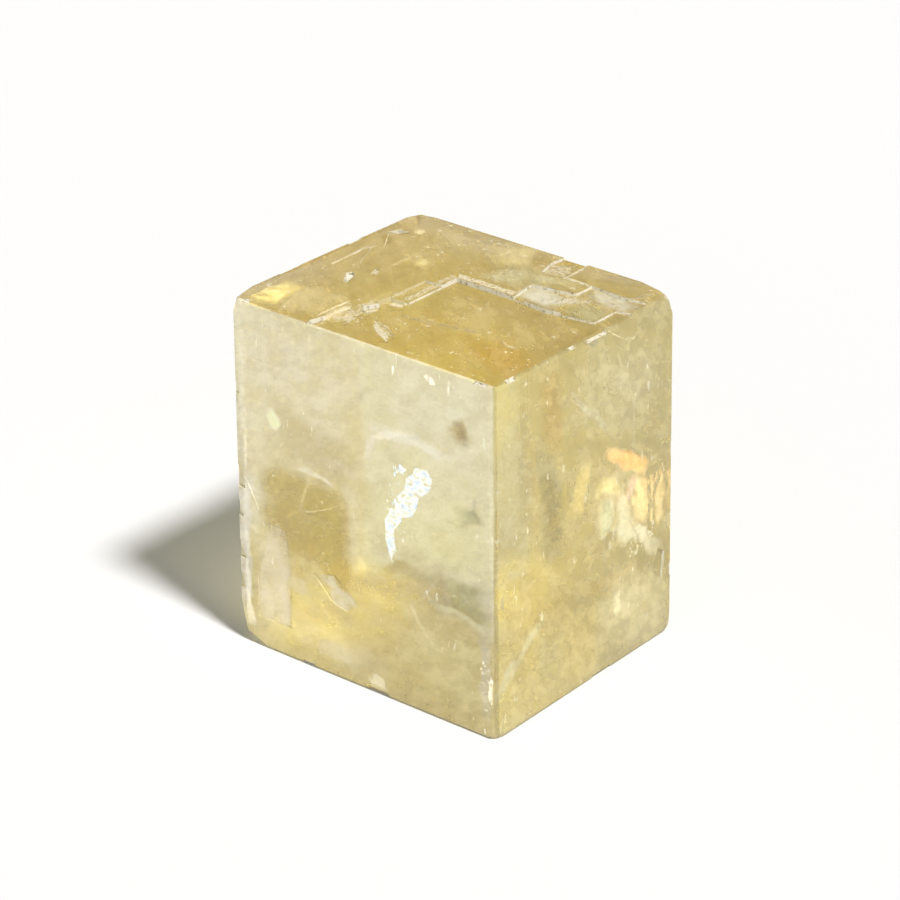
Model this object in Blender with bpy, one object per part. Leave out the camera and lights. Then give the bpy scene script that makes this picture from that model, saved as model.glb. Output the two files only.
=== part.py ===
"""A honey-yellow calcite cleavage rhomb, modelled as one closed solid.

Units are metres and +Z is up. The crystal is described along its own three edges: a runs from
the bottom front corner along the bottom left edge, b along the bottom right edge and h up the
front edge. All six faces are cleavage faces, so their corners measure 101.9 or 78.1 degrees
and the two front faces lean back by the same amount. +Y is the direction of that lean, and the
origin is at the middle of the bottom of the finished crystal's box.
"""
import math
from collections import namedtuple

import bmesh
import bpy
from mathutils import Matrix, Vector

MM = 0.001

# Driving dimensions: the edge lengths of the unworn rhomb and the wide angle of its faces.
EDGE_A = 29.1 * MM
EDGE_B = 25.65 * MM
EDGE_H = 34.05 * MM
FACE_ANGLE = math.radians(101.9)
EDGES = (EDGE_A, EDGE_B, EDGE_H)

# Wear along the edges, as the width of the worn strip.
WORN_SHARP = 0.20 * MM
WORN_PLAIN = 0.36 * MM
WORN_SOFT = 0.62 * MM
WORN_HEAVY = 0.85 * MM
WEAR_SEGMENTS = 2

# A broken corner is one flat break and three longer, shallower facets around it.
FACET_LONG = 2.1
FACET_SHORT = 0.62

OUTSIDE = 2.0 * MM        # how far a cutter reaches past the face that it cuts
MERGE_DISTANCE = 0.02 * MM
SCALLOP_SUBDIVISIONS = 2
HONEY = (0.74, 0.55, 0.22, 1.0)
HONEY_ROUGHNESS = 0.12
CALCITE_IOR = 1.658

# A ledge is a thin layer that split off one face. Its outline is given in millimetres along
# the two edges of that face, and its depth is measured along the third edge.
Ledge = namedtuple("Ledge", "name face outline depth")
# A notch is a small rhombic block that broke out of an edge, from its low to its high corner
# in millimetres along a, b and h.
Notch = namedtuple("Notch", "name low high")
# A scallop is a shell-shaped chip: a shallow faceted bowl of that width and depth at a point.
Scallop = namedtuple("Scallop", "name at outward width depth")
# A corner's flat break takes those lengths in millimetres off the three edges there.
Corner = namedtuple("Corner", "name at cut")

# Each face: the edge it is crossed by (0, 1 or 2) and whether it lies at that edge's far end.
FACES = {
    "front_right": (0, False), "back_left": (0, True),
    "front_left": (1, False), "back_right": (1, True),
    "bottom": (2, False), "top": (2, True),
}

LEDGES = (
    Ledge("front_terrace", "top",
          ((-2.0, -2.0), (20.8, -2.0), (19.3, 4.4), (17.9, 7.2), (16.5, 9.0), (16.5, 15.6),
           (10.4, 15.6), (6.4, 15.1), (1.6, 16.0), (1.6, 19.2), (-2.0, 20.4)), 0.44),
    Ledge("narrow_step", "top",
          ((16.0, 8.4), (18.2, 8.4), (18.2, 13.4), (16.0, 13.4)), 0.22),
    Ledge("flaked_corner", "top",
          ((1.0, 15.4), (10.0, 15.4), (10.5, 18.6), (6.2, 19.6), (6.2, 21.9), (2.4, 21.5),
           (-2.0, 22.6), (-2.0, 19.6), (1.0, 18.9)), 0.26),
    Ledge("rim_flake", "top",
          ((9.2, 22.2), (11.6, 21.6), (12.2, 24.0), (11.6, 28.0), (9.4, 28.0)), 0.30),
    Ledge("ledge_break", "top",
          ((17.3, 3.2), (18.6, 1.3), (20.0, 2.0), (20.4, 3.9), (19.1, 5.6), (17.8, 5.3)), 0.62),
    Ledge("ledge_break_tail", "top",
          ((16.2, 7.9), (17.5, 6.6), (18.6, 7.1), (18.3, 8.7), (16.9, 8.9)), 0.58),
    Ledge("terrace_pit", "top",
          ((12.8, 1.7), (13.6, 1.2), (14.7, 2.5), (16.5, 3.9), (16.0, 4.3), (14.3, 3.7),
           (13.2, 3.0)), 0.64),
    Ledge("back_pit", "top",
          ((23.2, 8.7), (23.7, 8.6), (24.7, 10.2), (24.4, 10.7), (23.8, 10.4)), 0.24),
    Ledge("back_pit_small", "top",
          ((22.2, 11.4), (22.8, 11.5), (23.2, 12.6), (22.8, 12.7)), 0.20),
    Ledge("back_flake", "top",
          ((25.2, 10.9), (27.0, 10.9), (27.3, 15.6), (26.6, 17.0), (25.8, 13.0)), 0.14),
    Ledge("rim_pit", "top",
          ((26.4, 21.2), (27.0, 20.2), (28.0, 20.0), (27.6, 21.0)), 0.32),
    Ledge("side_flake", "front_left",
          ((23.1, 3.0), (26.9, 3.0), (26.9, 7.0), (25.4, 12.8), (23.4, 12.6), (23.0, 8.6)),
          0.14),
    Ledge("small_flake", "front_left",
          ((20.3, 9.5), (17.9, 10.1), (15.4, 8.1), (16.5, 6.9), (18.3, 7.4)), 0.12),
    Ledge("left_edge_flake", "front_left",
          ((25.6, 13.9), (26.6, 13.8), (27.4, 15.3), (28.4, 17.2), (26.2, 16.8)), 0.12),
    Ledge("right_edge_flake", "front_right",
          ((22.6, 7.2), (24.2, 5.8), (24.6, 8.4), (23.6, 9.2)), 0.24),
    Ledge("back_slab", "back_left",
          ((9.4, -2.0), (27.5, -2.0), (27.5, 12.2), (14.6, 12.2), (12.2, 9.4), (9.4, 9.4)),
          0.22),
    Ledge("back_upper_slab", "back_left",
          ((16.8, 11.0), (27.5, 11.0), (27.5, 24.6), (21.4, 24.6), (21.4, 19.0), (16.8, 19.0)),
          0.14),
    Ledge("back_flat_flake", "back_left",
          ((5.8, 21.0), (9.6, 20.2), (11.4, 26.0), (8.8, 28.4), (6.0, 26.2)), 0.12),
    Ledge("rear_slab", "back_right",
          ((13.6, -2.0), (31.5, -2.0), (31.5, 10.6), (20.2, 10.6), (18.4, 7.8), (13.6, 7.8)),
          0.16),
    Ledge("rear_flake", "back_right",
          ((7.6, 14.8), (13.9, 14.8), (15.2, 21.6), (10.8, 25.0), (7.6, 21.0)), 0.10),
    Ledge("rear_upper_flake", "back_right",
          ((19.4, 24.8), (25.0, 24.8), (26.2, 29.6), (21.6, 31.2)), 0.10),
)

NOTCHES = (
    Notch("left_edge_1", (28.80, -2.0, 21.6), (31.0, 0.20, 29.8)),
    Notch("left_edge_2", (28.50, -2.0, 24.6), (31.0, 0.28, 25.6)),
    Notch("left_edge_3", (28.10, -2.0, 15.4), (31.0, 0.32, 17.5)),
    Notch("left_edge_4", (28.40, -2.0, 12.5), (31.0, 0.36, 14.0)),
    Notch("left_edge_5", (28.20, -2.0, 8.3), (31.0, 0.32, 10.0)),
    Notch("left_edge_6", (28.45, -2.0, 5.3), (31.0, 0.38, 6.8)),
    Notch("right_edge_1", (-2.0, 25.45, 17.8), (0.24, 27.5, 19.3)),
    Notch("right_edge_2", (-2.0, 25.42, 5.6), (0.26, 27.5, 6.9)),
    Notch("right_rim_1", (-2.0, 12.9, 33.30), (0.52, 15.7, 36.1)),
    Notch("right_rim_2", (-2.0, 10.4, 33.45), (0.36, 11.3, 36.1)),
    Notch("right_rim_3", (-2.0, 1.8, 33.35), (0.42, 3.1, 36.1)),
    Notch("front_rim_1", (0.9, -2.0, 33.45), (2.3, 0.30, 36.1)),
    Notch("front_rim_2", (27.0, -2.0, 33.80), (28.0, 0.28, 36.1)),
    Notch("left_rim_1", (28.85, 6.2, 33.85), (31.0, 9.0, 36.1)),
    Notch("left_rim_2", (28.80, 15.4, 33.80), (31.0, 17.2, 36.1)),
    Notch("foot_left_1", (11.9, -2.0, -2.0), (14.3, 0.42, 0.46)),
    Notch("foot_left_2", (20.4, -2.0, -2.0), (21.8, 0.34, 0.36)),
    Notch("foot_right_1", (-2.0, 13.8, -2.0), (0.44, 16.6, 0.40)),
    Notch("back_edge_1", (28.1, 24.6, 17.8), (31.0, 27.5, 22.6)),
    Notch("back_edge_2", (28.5, 25.0, 26.8), (31.0, 27.5, 29.4)),
)

CORNERS = (
    Corner("bottom_left", (1, 0, 0), (1.8, 2.2, 2.3)),
    Corner("top_left", (1, 0, 1), (1.2, 1.6, 1.0)),
    Corner("top_right", (0, 1, 1), (2.0, 1.6, 1.2)),
    Corner("top_back", (1, 1, 1), (1.5, 1.0, 0.7)),
    Corner("bottom_front", (0, 0, 0), (0.9, 0.8, 1.2)),
    Corner("bottom_right", (0, 1, 0), (0.6, 0.6, 1.3)),
    Corner("bottom_right_taper", (0, 1, 0), (0.26, 0.26, 4.4)),
    Corner("top_front", (0, 0, 1), (0.6, 0.9, 0.7)),
    Corner("bottom_back", (1, 1, 0), (2.4, 2.0, 2.8)),
)

# Points are in millimetres along a, b and h; outward is the mix of edge directions that
# points away from the crystal there.
SCALLOPS = (
    Scallop("left_edge_foot", (29.1, 0.0, 3.4), (1.0, -1.0, -0.2), 2.4, 0.36),
    Scallop("left_back_foot", (29.1, 4.6, 0.0), (1.0, 0.0, -0.9), 4.2, 0.60),
    Scallop("rear_right_edge", (2.6, 25.65, 0.0), (0.0, 1.0, -0.9), 3.6, 0.50),
)

# Wear of each edge, by the direction it runs along and where it lies on the other two.
WEAR = {
    ("h", (0, 0)): WORN_PLAIN,
    ("h", (1, 0)): WORN_PLAIN,
    ("h", (0, 1)): WORN_SHARP,
    ("h", (1, 1)): WORN_SOFT,
    ("a", (0, 1)): WORN_SHARP,
    ("a", (1, 1)): WORN_SHARP,
    ("a", (0, 0)): WORN_PLAIN,
    ("a", (1, 0)): WORN_SOFT,
    ("b", (0, 1)): WORN_HEAVY,
    ("b", (1, 1)): WORN_SHARP,
    ("b", (0, 0)): WORN_PLAIN,
    ("b", (1, 0)): WORN_SOFT,
}


def edge_directions():
    """Unit vectors of the three edges that meet at the bottom front corner."""
    half = FACE_ANGLE / 2
    along_a = Vector((-math.sin(half), math.cos(half), 0.0))
    along_b = Vector((math.sin(half), math.cos(half), 0.0))
    # The upright edge makes the face's narrow angle with both bottom edges.
    lean = math.cos(math.pi - FACE_ANGLE) / math.cos(half)
    along_h = Vector((0.0, lean, math.sqrt(1.0 - lean * lean)))
    return along_a, along_b, along_h


DIRECTIONS = edge_directions()


def crystal_point(a, b, h):
    """The place reached by going a, b and h metres along the three edges."""
    return a * DIRECTIONS[0] + b * DIRECTIONS[1] + h * DIRECTIONS[2]


def corner_point(at):
    """A corner of the unworn rhomb, from 0 or 1 for each edge."""
    return crystal_point(*(edge * end for edge, end in zip(EDGES, at)))


def clear_scene():
    """Take every object out of the scene."""
    for item in list(bpy.data.objects):
        bpy.data.objects.remove(item, do_unlink=True)


def honey_calcite():
    """The clear yellow calcite of the whole crystal."""
    material = bpy.data.materials.new("honey_calcite")
    material.use_nodes = True
    shader = material.node_tree.nodes["Principled BSDF"]
    shader.inputs["Base Color"].default_value = HONEY
    shader.inputs["Roughness"].default_value = HONEY_ROUGHNESS
    shader.inputs["Metallic"].default_value = 0.0
    shader.inputs["IOR"].default_value = CALCITE_IOR
    return material


def mesh_object(name, bm):
    """Put a finished bmesh into an object of that name."""
    mesh = bpy.data.meshes.new(name)
    bm.to_mesh(mesh)
    bm.free()
    item = bpy.data.objects.new(name, mesh)
    bpy.context.scene.collection.objects.link(item)
    return item


def unworn_rhomb():
    """The parallelepiped that the three edges span, before any wear."""
    bm = bmesh.new()
    bmesh.ops.create_cube(bm, size=1.0)
    for vert in bm.verts:
        vert.co = corner_point(tuple(part + 0.5 for part in vert.co))
    bmesh.ops.recalc_face_normals(bm, faces=bm.faces)
    return bm


def wear_of(edge):
    """Width of the worn strip along one edge of the rhomb."""
    start = edge.verts[0].co
    middle = (start + edge.verts[1].co) / 2
    run = (edge.verts[1].co - start).normalized()
    axis = max(range(3), key=lambda index: abs(run.dot(DIRECTIONS[index])))
    others = [index for index in range(3) if index != axis]
    basis = Matrix([DIRECTIONS[index] * EDGES[index] for index in range(3)]).transposed()
    shares = basis.inverted() @ middle
    ends = tuple(int(round(shares[index])) for index in others)
    return WEAR["abh"[axis], ends]


def wear_edges(bm):
    """Round every edge of the rhomb by its own amount."""
    layer = bm.edges.layers.float.new("bevel_weight_edge")
    for edge in bm.edges:
        edge[layer] = wear_of(edge) / WORN_HEAVY
    item = mesh_object("calcite_rhomb", bm)
    wear = item.modifiers.new("worn_edges", "BEVEL")
    wear.limit_method = "WEIGHT"
    wear.width = WORN_HEAVY
    wear.segments = WEAR_SEGMENTS
    return item


def ledge_cutter(ledge):
    """A prism over the layer that a ledge lost."""
    axis, far_end = FACES[ledge.face]
    across = [index for index in range(3) if index != axis]
    depth = ledge.depth * MM
    floor = EDGES[axis] - depth if far_end else depth
    roof = EDGES[axis] + OUTSIDE if far_end else -OUTSIDE
    bm = bmesh.new()
    rings = []
    for level in (floor, roof):
        ring = []
        for point in ledge.outline:
            place = [0.0, 0.0, 0.0]
            place[axis] = level
            place[across[0]] = point[0] * MM
            place[across[1]] = point[1] * MM
            ring.append(bm.verts.new(crystal_point(*place)))
        rings.append(ring)
        bm.faces.new(ring)
    for index in range(len(ledge.outline)):
        following = (index + 1) % len(ledge.outline)
        bm.faces.new((rings[0][index], rings[0][following],
                      rings[1][following], rings[1][index]))
    bmesh.ops.recalc_face_normals(bm, faces=bm.faces)
    return mesh_object("cut_" + ledge.name, bm)


def notch_cutter(notch):
    """A rhombic block whose sides follow the cleavage."""
    bm = bmesh.new()
    bmesh.ops.create_cube(bm, size=1.0)
    for vert in bm.verts:
        shares = [part + 0.5 for part in vert.co]
        vert.co = crystal_point(*((low + (high - low) * share) * MM for low, high, share
                                  in zip(notch.low, notch.high, shares)))
    bmesh.ops.recalc_face_normals(bm, faces=bm.faces)
    return mesh_object("cut_" + notch.name, bm)


def scallop_cutter(scallop):
    """A ball that leaves a shallow bowl of the scallop's width and depth."""
    half_width = scallop.width * MM / 2
    depth = scallop.depth * MM
    radius = (half_width ** 2 + depth ** 2) / (2 * depth)
    outward = crystal_point(*scallop.outward).normalized()
    middle = crystal_point(*(part * MM for part in scallop.at)) + outward * (radius - depth)
    bm = bmesh.new()
    turn = outward.to_track_quat("Z", "Y").to_matrix().to_4x4()
    bmesh.ops.create_icosphere(bm, subdivisions=SCALLOP_SUBDIVISIONS, radius=radius,
                               matrix=Matrix.Translation(middle) @ turn)
    return mesh_object("cut_" + scallop.name, bm)


def cut_away(item, cutter):
    """Take a cutter's volume out of the crystal."""
    cutter.hide_render = True
    cutter.display_type = "WIRE"
    cut = item.modifiers.new(cutter.name, "BOOLEAN")
    cut.operation = "DIFFERENCE"
    cut.object = cutter


def corner_cuts(corner):
    """What each facet of a broken corner takes off the three edges, in millimetres."""
    cuts = [corner.cut]
    for axis in range(3):
        shares = [FACET_LONG if index == axis else FACET_SHORT for index in range(3)]
        cuts.append(tuple(part * share for part, share in zip(corner.cut, shares)))
    return cuts


def slice_corner(bm, at, cut):
    """Slice one corner off along a plane through three points on its edges."""
    origin = corner_point(at)
    points = []
    for axis in range(3):
        inward = -1.0 if at[axis] else 1.0
        points.append(origin + DIRECTIONS[axis] * inward * cut[axis] * MM)
    normal = (points[1] - points[0]).cross(points[2] - points[0]).normalized()
    if normal.dot(origin - points[0]) < 0:
        normal.negate()
    sliced = bmesh.ops.bisect_plane(bm, geom=bm.verts[:] + bm.edges[:] + bm.faces[:],
                                    plane_co=points[0], plane_no=normal, clear_outer=True)
    rim = [part for part in sliced["geom_cut"] if isinstance(part, bmesh.types.BMEdge)]
    bmesh.ops.contextual_create(bm, geom=rim)


def baked(item):
    """A bmesh of the object as its modifiers leave it."""
    graph = bpy.context.evaluated_depsgraph_get()
    evaluated = item.evaluated_get(graph)
    bm = bmesh.new()
    bm.from_mesh(evaluated.to_mesh())
    evaluated.to_mesh_clear()
    item.modifiers.clear()
    return bm


def tidy_faces(bm):
    """Merge stray points and leave clean triangles facing outward."""
    bmesh.ops.remove_doubles(bm, verts=bm.verts, dist=MERGE_DISTANCE)
    bmesh.ops.dissolve_degenerate(bm, dist=MERGE_DISTANCE, edges=bm.edges)
    bmesh.ops.triangulate(bm, faces=bm.faces, quad_method="BEAUTY", ngon_method="BEAUTY")
    bmesh.ops.recalc_face_normals(bm, faces=bm.faces)


def centre_on_floor(bm):
    """Move the mesh so that the middle of its box's bottom is the origin."""
    low = Vector([min(vert.co[axis] for vert in bm.verts) for axis in range(3)])
    high = Vector([max(vert.co[axis] for vert in bm.verts) for axis in range(3)])
    shift = Vector((-(low.x + high.x) / 2, -(low.y + high.y) / 2, -low.z))
    bmesh.ops.translate(bm, verts=bm.verts, vec=shift)


def build_crystal():
    """The whole crystal: worn edges, broken corners, ledges, notches and chips."""
    item = wear_edges(unworn_rhomb())
    bm = baked(item)
    for corner in CORNERS:
        for cut in corner_cuts(corner):
            slice_corner(bm, corner.at, cut)
    bm.to_mesh(item.data)
    bm.free()
    cutters = [ledge_cutter(ledge) for ledge in LEDGES]
    cutters += [notch_cutter(notch) for notch in NOTCHES]
    cutters += [scallop_cutter(scallop) for scallop in SCALLOPS]
    for cutter in cutters:
        cut_away(item, cutter)
    bm = baked(item)
    tidy_faces(bm)
    centre_on_floor(bm)
    bm.to_mesh(item.data)
    bm.free()
    for cutter in cutters:
        bpy.data.objects.remove(cutter, do_unlink=True)
    item.data.materials.clear()
    item.data.materials.append(honey_calcite())
    return item


clear_scene()
build_crystal()
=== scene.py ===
"""Looks of a honey-yellow calcite cleavage rhomb, built over its solid model.

Units are metres and +Z is up. Places on and in the crystal are given in millimetres along its
own three edges, counted from the bottom front corner: a runs along the bottom left edge, b
along the bottom right edge and h up the front edge. All six faces are cleavage faces, so every
ledge, notch and crack follows the same three directions.
"""
from __future__ import annotations

import logging
import math
import random
from dataclasses import dataclass, field
from enum import Enum
from typing import Any, Iterable, Sequence

import bpy
from mathutils import Matrix, Vector


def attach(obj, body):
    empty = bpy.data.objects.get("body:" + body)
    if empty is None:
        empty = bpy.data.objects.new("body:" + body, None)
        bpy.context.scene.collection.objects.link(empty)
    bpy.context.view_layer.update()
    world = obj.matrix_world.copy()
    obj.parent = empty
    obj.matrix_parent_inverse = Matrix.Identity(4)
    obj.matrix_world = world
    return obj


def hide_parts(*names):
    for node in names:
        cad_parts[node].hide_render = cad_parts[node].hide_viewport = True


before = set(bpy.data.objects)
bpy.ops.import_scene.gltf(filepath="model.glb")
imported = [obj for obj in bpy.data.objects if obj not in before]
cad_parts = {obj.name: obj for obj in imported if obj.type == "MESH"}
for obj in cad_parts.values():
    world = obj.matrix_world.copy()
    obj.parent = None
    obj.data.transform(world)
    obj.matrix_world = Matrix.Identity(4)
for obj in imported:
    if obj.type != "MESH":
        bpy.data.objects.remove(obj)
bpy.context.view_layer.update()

LOG = logging.getLogger("calcite")
MM = 0.001
NODE = "calcite_rhomb"
BODY = "root"

Point2 = tuple[float, float]
Point3 = tuple[float, float, float]
Colour = tuple[float, float, float]


# ---------------------------------------------------------------- crystal geometry


@dataclass(frozen=True)
class CrystalAxes:
    """The three edge directions of the rhomb and where its bottom front corner stands.

    Attributes:
        face_angle: Wide angle of each cleavage face, in degrees.
        corner: The unworn bottom front corner in the part's frame, in millimetres.
    """

    face_angle: float = 101.9
    corner: Point3 = (1.302, -22.824, 0.0)

    @property
    def directions(self) -> tuple[Vector, Vector, Vector]:
        """Unit vectors along the three edges.

        Returns:
            The directions of a, b and h.
        """
        wide = math.radians(self.face_angle)
        half = wide / 2
        along_a = Vector((-math.sin(half), math.cos(half), 0.0))
        along_b = Vector((math.sin(half), math.cos(half), 0.0))
        lean = math.cos(math.pi - wide) / math.cos(half)
        along_h = Vector((0.0, lean, math.sqrt(1.0 - lean * lean)))
        return along_a, along_b, along_h

    @property
    def origin(self) -> Vector:
        """The unworn bottom front corner, in metres."""
        return Vector(self.corner) * MM

    def step(self, a: float, b: float, h: float) -> Vector:
        """A move of a, b and h millimetres along the edges, in metres."""
        along = self.directions
        return (along[0] * a + along[1] * b + along[2] * h) * MM

    def along(self, axis: int, distance: float) -> Vector:
        """A move along one edge alone.

        Args:
            axis: Index of the edge.
            distance: Millimetres along it.

        Returns:
            The move, in metres.
        """
        move = [0.0, 0.0, 0.0]
        move[axis] = distance
        return self.step(*move)

    def point(self, a: float, b: float, h: float) -> Vector:
        """The place at a, b and h millimetres, in metres."""
        return self.origin + self.step(a, b, h)

    def readers(self) -> tuple[Vector, Vector, Vector]:
        """Vectors that read a place along the edges.

        Returns:
            Three vectors whose dot products with a place give its a, b and h in millimetres.
        """
        columns = Matrix([direction * MM for direction in self.directions]).transposed()
        inverse = columns.inverted()
        return tuple(Vector(inverse[row]) for row in range(3))


AXES = CrystalAxes()
EDGE_LENGTHS: Point3 = (29.1, 25.65, 34.05)
EYE_FROM_CORNER: Point3 = (-33.34, -177.84, 146.49)   # the camera, in millimetres
INNER_MARGIN = 0.45   # how far inner marks keep from the neighbouring faces, in millimetres
PLATE_MARGIN = 0.7    # how far the middles of small plates keep from them
SHALLOWEST = 0.75     # how deep small plates lie at least, in millimetres
CALCITE_IOR = 1.658


class Face(Enum):
    """The six cleavage faces: the edge that crosses each, and whether it is the far one."""

    FRONT_RIGHT = (0, False)
    BACK_LEFT = (0, True)
    FRONT_LEFT = (1, False)
    BACK_RIGHT = (1, True)
    BOTTOM = (2, False)
    TOP = (2, True)

    @property
    def axis(self) -> int:
        """Index of the edge that crosses the face."""
        return self.value[0]

    @property
    def across(self) -> tuple[int, int]:
        """Indices of the two edges that span the face."""
        first, second = (index for index in range(3) if index != self.axis)
        return first, second

    def level(self, depth: float) -> float:
        """How far along the crossing edge a layer at that depth under the face lies."""
        return EDGE_LENGTHS[self.axis] - depth if self.value[1] else depth

    def place(self, point: Point2, depth: float) -> Point3:
        """The a, b and h of a point on the face, that deep under it.

        Args:
            point: Millimetres along the two edges that span the face.
            depth: Millimetres under the face, along the third edge.

        Returns:
            The place along a, b and h, in millimetres.
        """
        place = [0.0, 0.0, 0.0]
        place[self.axis] = self.level(depth)
        place[self.across[0]] = point[0]
        place[self.across[1]] = point[1]
        return place[0], place[1], place[2]

    def inward(self, distance: float) -> Vector:
        """A move of that many millimetres into the crystal along the crossing edge."""
        return AXES.along(self.axis, -distance if self.value[1] else distance)

    def behind(self, point: Point2, depth: float, ior: float = CALCITE_IOR) -> Point3:
        """The place under the face that shows at a point on it from the camera's side.

        Args:
            point: Millimetres along the two edges that span the face.
            depth: Millimetres under the face, along the third edge.
            ior: Refractive index, which bends the line of sight.

        Returns:
            The place along a, b and h, in millimetres.
        """
        start = self.place(point, 0.0)
        sight = (AXES.point(*start) - AXES.origin - Vector(EYE_FROM_CORNER) * MM).normalized()
        first, second = self.across
        normal = AXES.directions[first].cross(AXES.directions[second]).normalized()
        if normal.dot(sight) > 0:
            normal.negate()
        facing = -normal.dot(sight)
        bent = math.sqrt(1.0 - (1.0 - facing * facing) / ior ** 2)
        inside = sight / ior + normal * (facing / ior - bent)
        reach = [reader.dot(inside) for reader in AXES.readers()]
        scale = depth / abs(reach[self.axis])
        found = [begin + step * scale for begin, step in zip(start, reach)]
        for axis in self.across:
            found[axis] = min(max(found[axis], INNER_MARGIN), EDGE_LENGTHS[axis] - INNER_MARGIN)
        return found[0], found[1], found[2]


# ---------------------------------------------------------------- modelling by hand


class HandTools:
    """The few edit-mode steps that every piece is made with."""

    @staticmethod
    def deselect() -> None:
        """Leave edit mode and select nothing."""
        if bpy.context.object is not None and bpy.context.object.mode != "OBJECT":
            bpy.ops.object.mode_set(mode="OBJECT")
        bpy.ops.object.select_all(action="DESELECT")

    @classmethod
    def only(cls, item: bpy.types.Object) -> None:
        """Select one object alone and make it active.

        Args:
            item: The object.
        """
        cls.deselect()
        item.select_set(True)
        bpy.context.view_layer.objects.active = item

    @classmethod
    def start_point(cls, place: Vector) -> bpy.types.Object:
        """Add a plane at a place and merge it into one point.

        Args:
            place: Where the point stands, in metres.

        Returns:
            The new object, left in edit mode.
        """
        cls.deselect()
        bpy.ops.mesh.primitive_plane_add(size=MM, location=place, enter_editmode=True)
        bpy.ops.mesh.merge(type="CENTER")
        return bpy.context.object

    @staticmethod
    def pull(move: Vector, everything: bool = True) -> None:
        """Extrude the edited mesh by a move.

        Args:
            move: How far and which way, in metres.
            everything: Whether the whole mesh is drawn out, or only what is selected.
        """
        if everything:
            bpy.ops.mesh.select_all(action="SELECT")
        bpy.ops.mesh.extrude_region_move(TRANSFORM_OT_translate={"value": move})

    @classmethod
    def draw_path(cls, places: Sequence[Vector]) -> bpy.types.Object:
        """Extrude a point along a path.

        Args:
            places: The path's points, in metres.

        Returns:
            The new object, left in edit mode.
        """
        item = cls.start_point(places[0])
        for before, after in zip(places, places[1:]):
            cls.pull(after - before, everything=False)
        return item

    @classmethod
    def draw_outline(cls, places: Sequence[Vector]) -> bpy.types.Object:
        """Draw a closed outline and fill it with one face.

        Args:
            places: The outline's points, in metres.

        Returns:
            The new object, left in edit mode.
        """
        item = cls.draw_path(places)
        bpy.ops.mesh.select_all(action="SELECT")
        bpy.ops.mesh.edge_face_add()
        return item

    @classmethod
    def close_up(cls, item: bpy.types.Object, name: str) -> bpy.types.Object:
        """Turn faces outward, leave edit mode, name the object and fix its place.

        Args:
            item: The object that is being edited.
            name: Its final name.

        Returns:
            The finished object, unselected.
        """
        bpy.ops.mesh.select_all(action="SELECT")
        bpy.ops.mesh.normals_make_consistent(inside=False)
        bpy.ops.object.mode_set(mode="OBJECT")
        bpy.ops.object.transform_apply(location=True, rotation=True, scale=True)
        item.name = name
        item.data.name = name
        cls.deselect()
        return item

    @staticmethod
    def crumple(cuts: int, amount: float, seed: int) -> None:
        """Divide the edited mesh finely and move its points a little at random.

        Args:
            cuts: How many times each edge is cut.
            amount: How far points move, in millimetres.
            seed: Seed of the random moves.
        """
        bpy.ops.mesh.select_all(action="SELECT")
        bpy.ops.mesh.quads_convert_to_tris()
        bpy.ops.mesh.subdivide(number_cuts=cuts)
        bpy.ops.transform.vertex_random(offset=amount * MM, seed=seed)

    @staticmethod
    def mark_inside(item: bpy.types.Object, faded: bool) -> None:
        """Give each point 1 in the attribute "inside", or 0 where it fades out.

        Args:
            item: The object.
            faded: Whether it fades out along its border.
        """
        marks = item.data.attributes.new("inside", "FLOAT", "POINT")
        border = set()
        if faded:
            uses = {}
            for face in item.data.polygons:
                for key in face.edge_keys:
                    uses[key] = uses.get(key, 0) + 1
            border = {index for key, count in uses.items() if count == 1 for index in key}
        for index in range(len(item.data.vertices)):
            marks.data[index].value = 0.0 if index in border else 1.0

    @classmethod
    def join(cls, items: Sequence[bpy.types.Object], name: str) -> bpy.types.Object:
        """Join objects into one.

        Args:
            items: The objects.
            name: The name of the whole.

        Returns:
            The joined object, unselected.
        """
        cls.deselect()
        for item in items:
            item.select_set(True)
        bpy.context.view_layer.objects.active = items[0]
        bpy.ops.object.join()
        joined = bpy.context.object
        joined.name = name
        joined.data.name = name
        cls.deselect()
        return joined

    @classmethod
    def apply(cls, item: bpy.types.Object, kind: str, **settings: Any) -> None:
        """Add a modifier to an object and apply it.

        Args:
            item: The object.
            kind: The modifier's type.
            **settings: Its settings.
        """
        cls.only(item)
        bpy.ops.object.modifier_add(type=kind)
        modifier = item.modifiers[-1]
        for name, value in settings.items():
            setattr(modifier, name, value)
        bpy.ops.object.modifier_apply(modifier=modifier.name)


# ---------------------------------------------------------------- shader expressions


class Wire:
    """One output of a material's nodes; arithmetic on it adds Math nodes."""

    def __init__(self, paint: "Paint", socket: bpy.types.NodeSocket) -> None:
        """Keep the node tree's builder and the socket."""
        self.paint = paint
        self.socket = socket

    def _with(self, operation: str, other: "Wire | float", flipped: bool = False) -> "Wire":
        """A Math node of this wire and another value."""
        pair = (other, self) if flipped else (self, other)
        return self.paint.math(operation, *pair)

    def __add__(self, other: "Wire | float") -> "Wire":
        """Sum."""
        return self._with("ADD", other)

    def __radd__(self, other: float) -> "Wire":
        """Sum, the number first."""
        return self._with("ADD", other, flipped=True)

    def __sub__(self, other: "Wire | float") -> "Wire":
        """Difference."""
        return self._with("SUBTRACT", other)

    def __rsub__(self, other: float) -> "Wire":
        """Difference, the number first."""
        return self._with("SUBTRACT", other, flipped=True)

    def __mul__(self, other: "Wire | float") -> "Wire":
        """Product."""
        return self._with("MULTIPLY", other)

    def __rmul__(self, other: float) -> "Wire":
        """Product, the number first."""
        return self._with("MULTIPLY", other, flipped=True)


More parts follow.
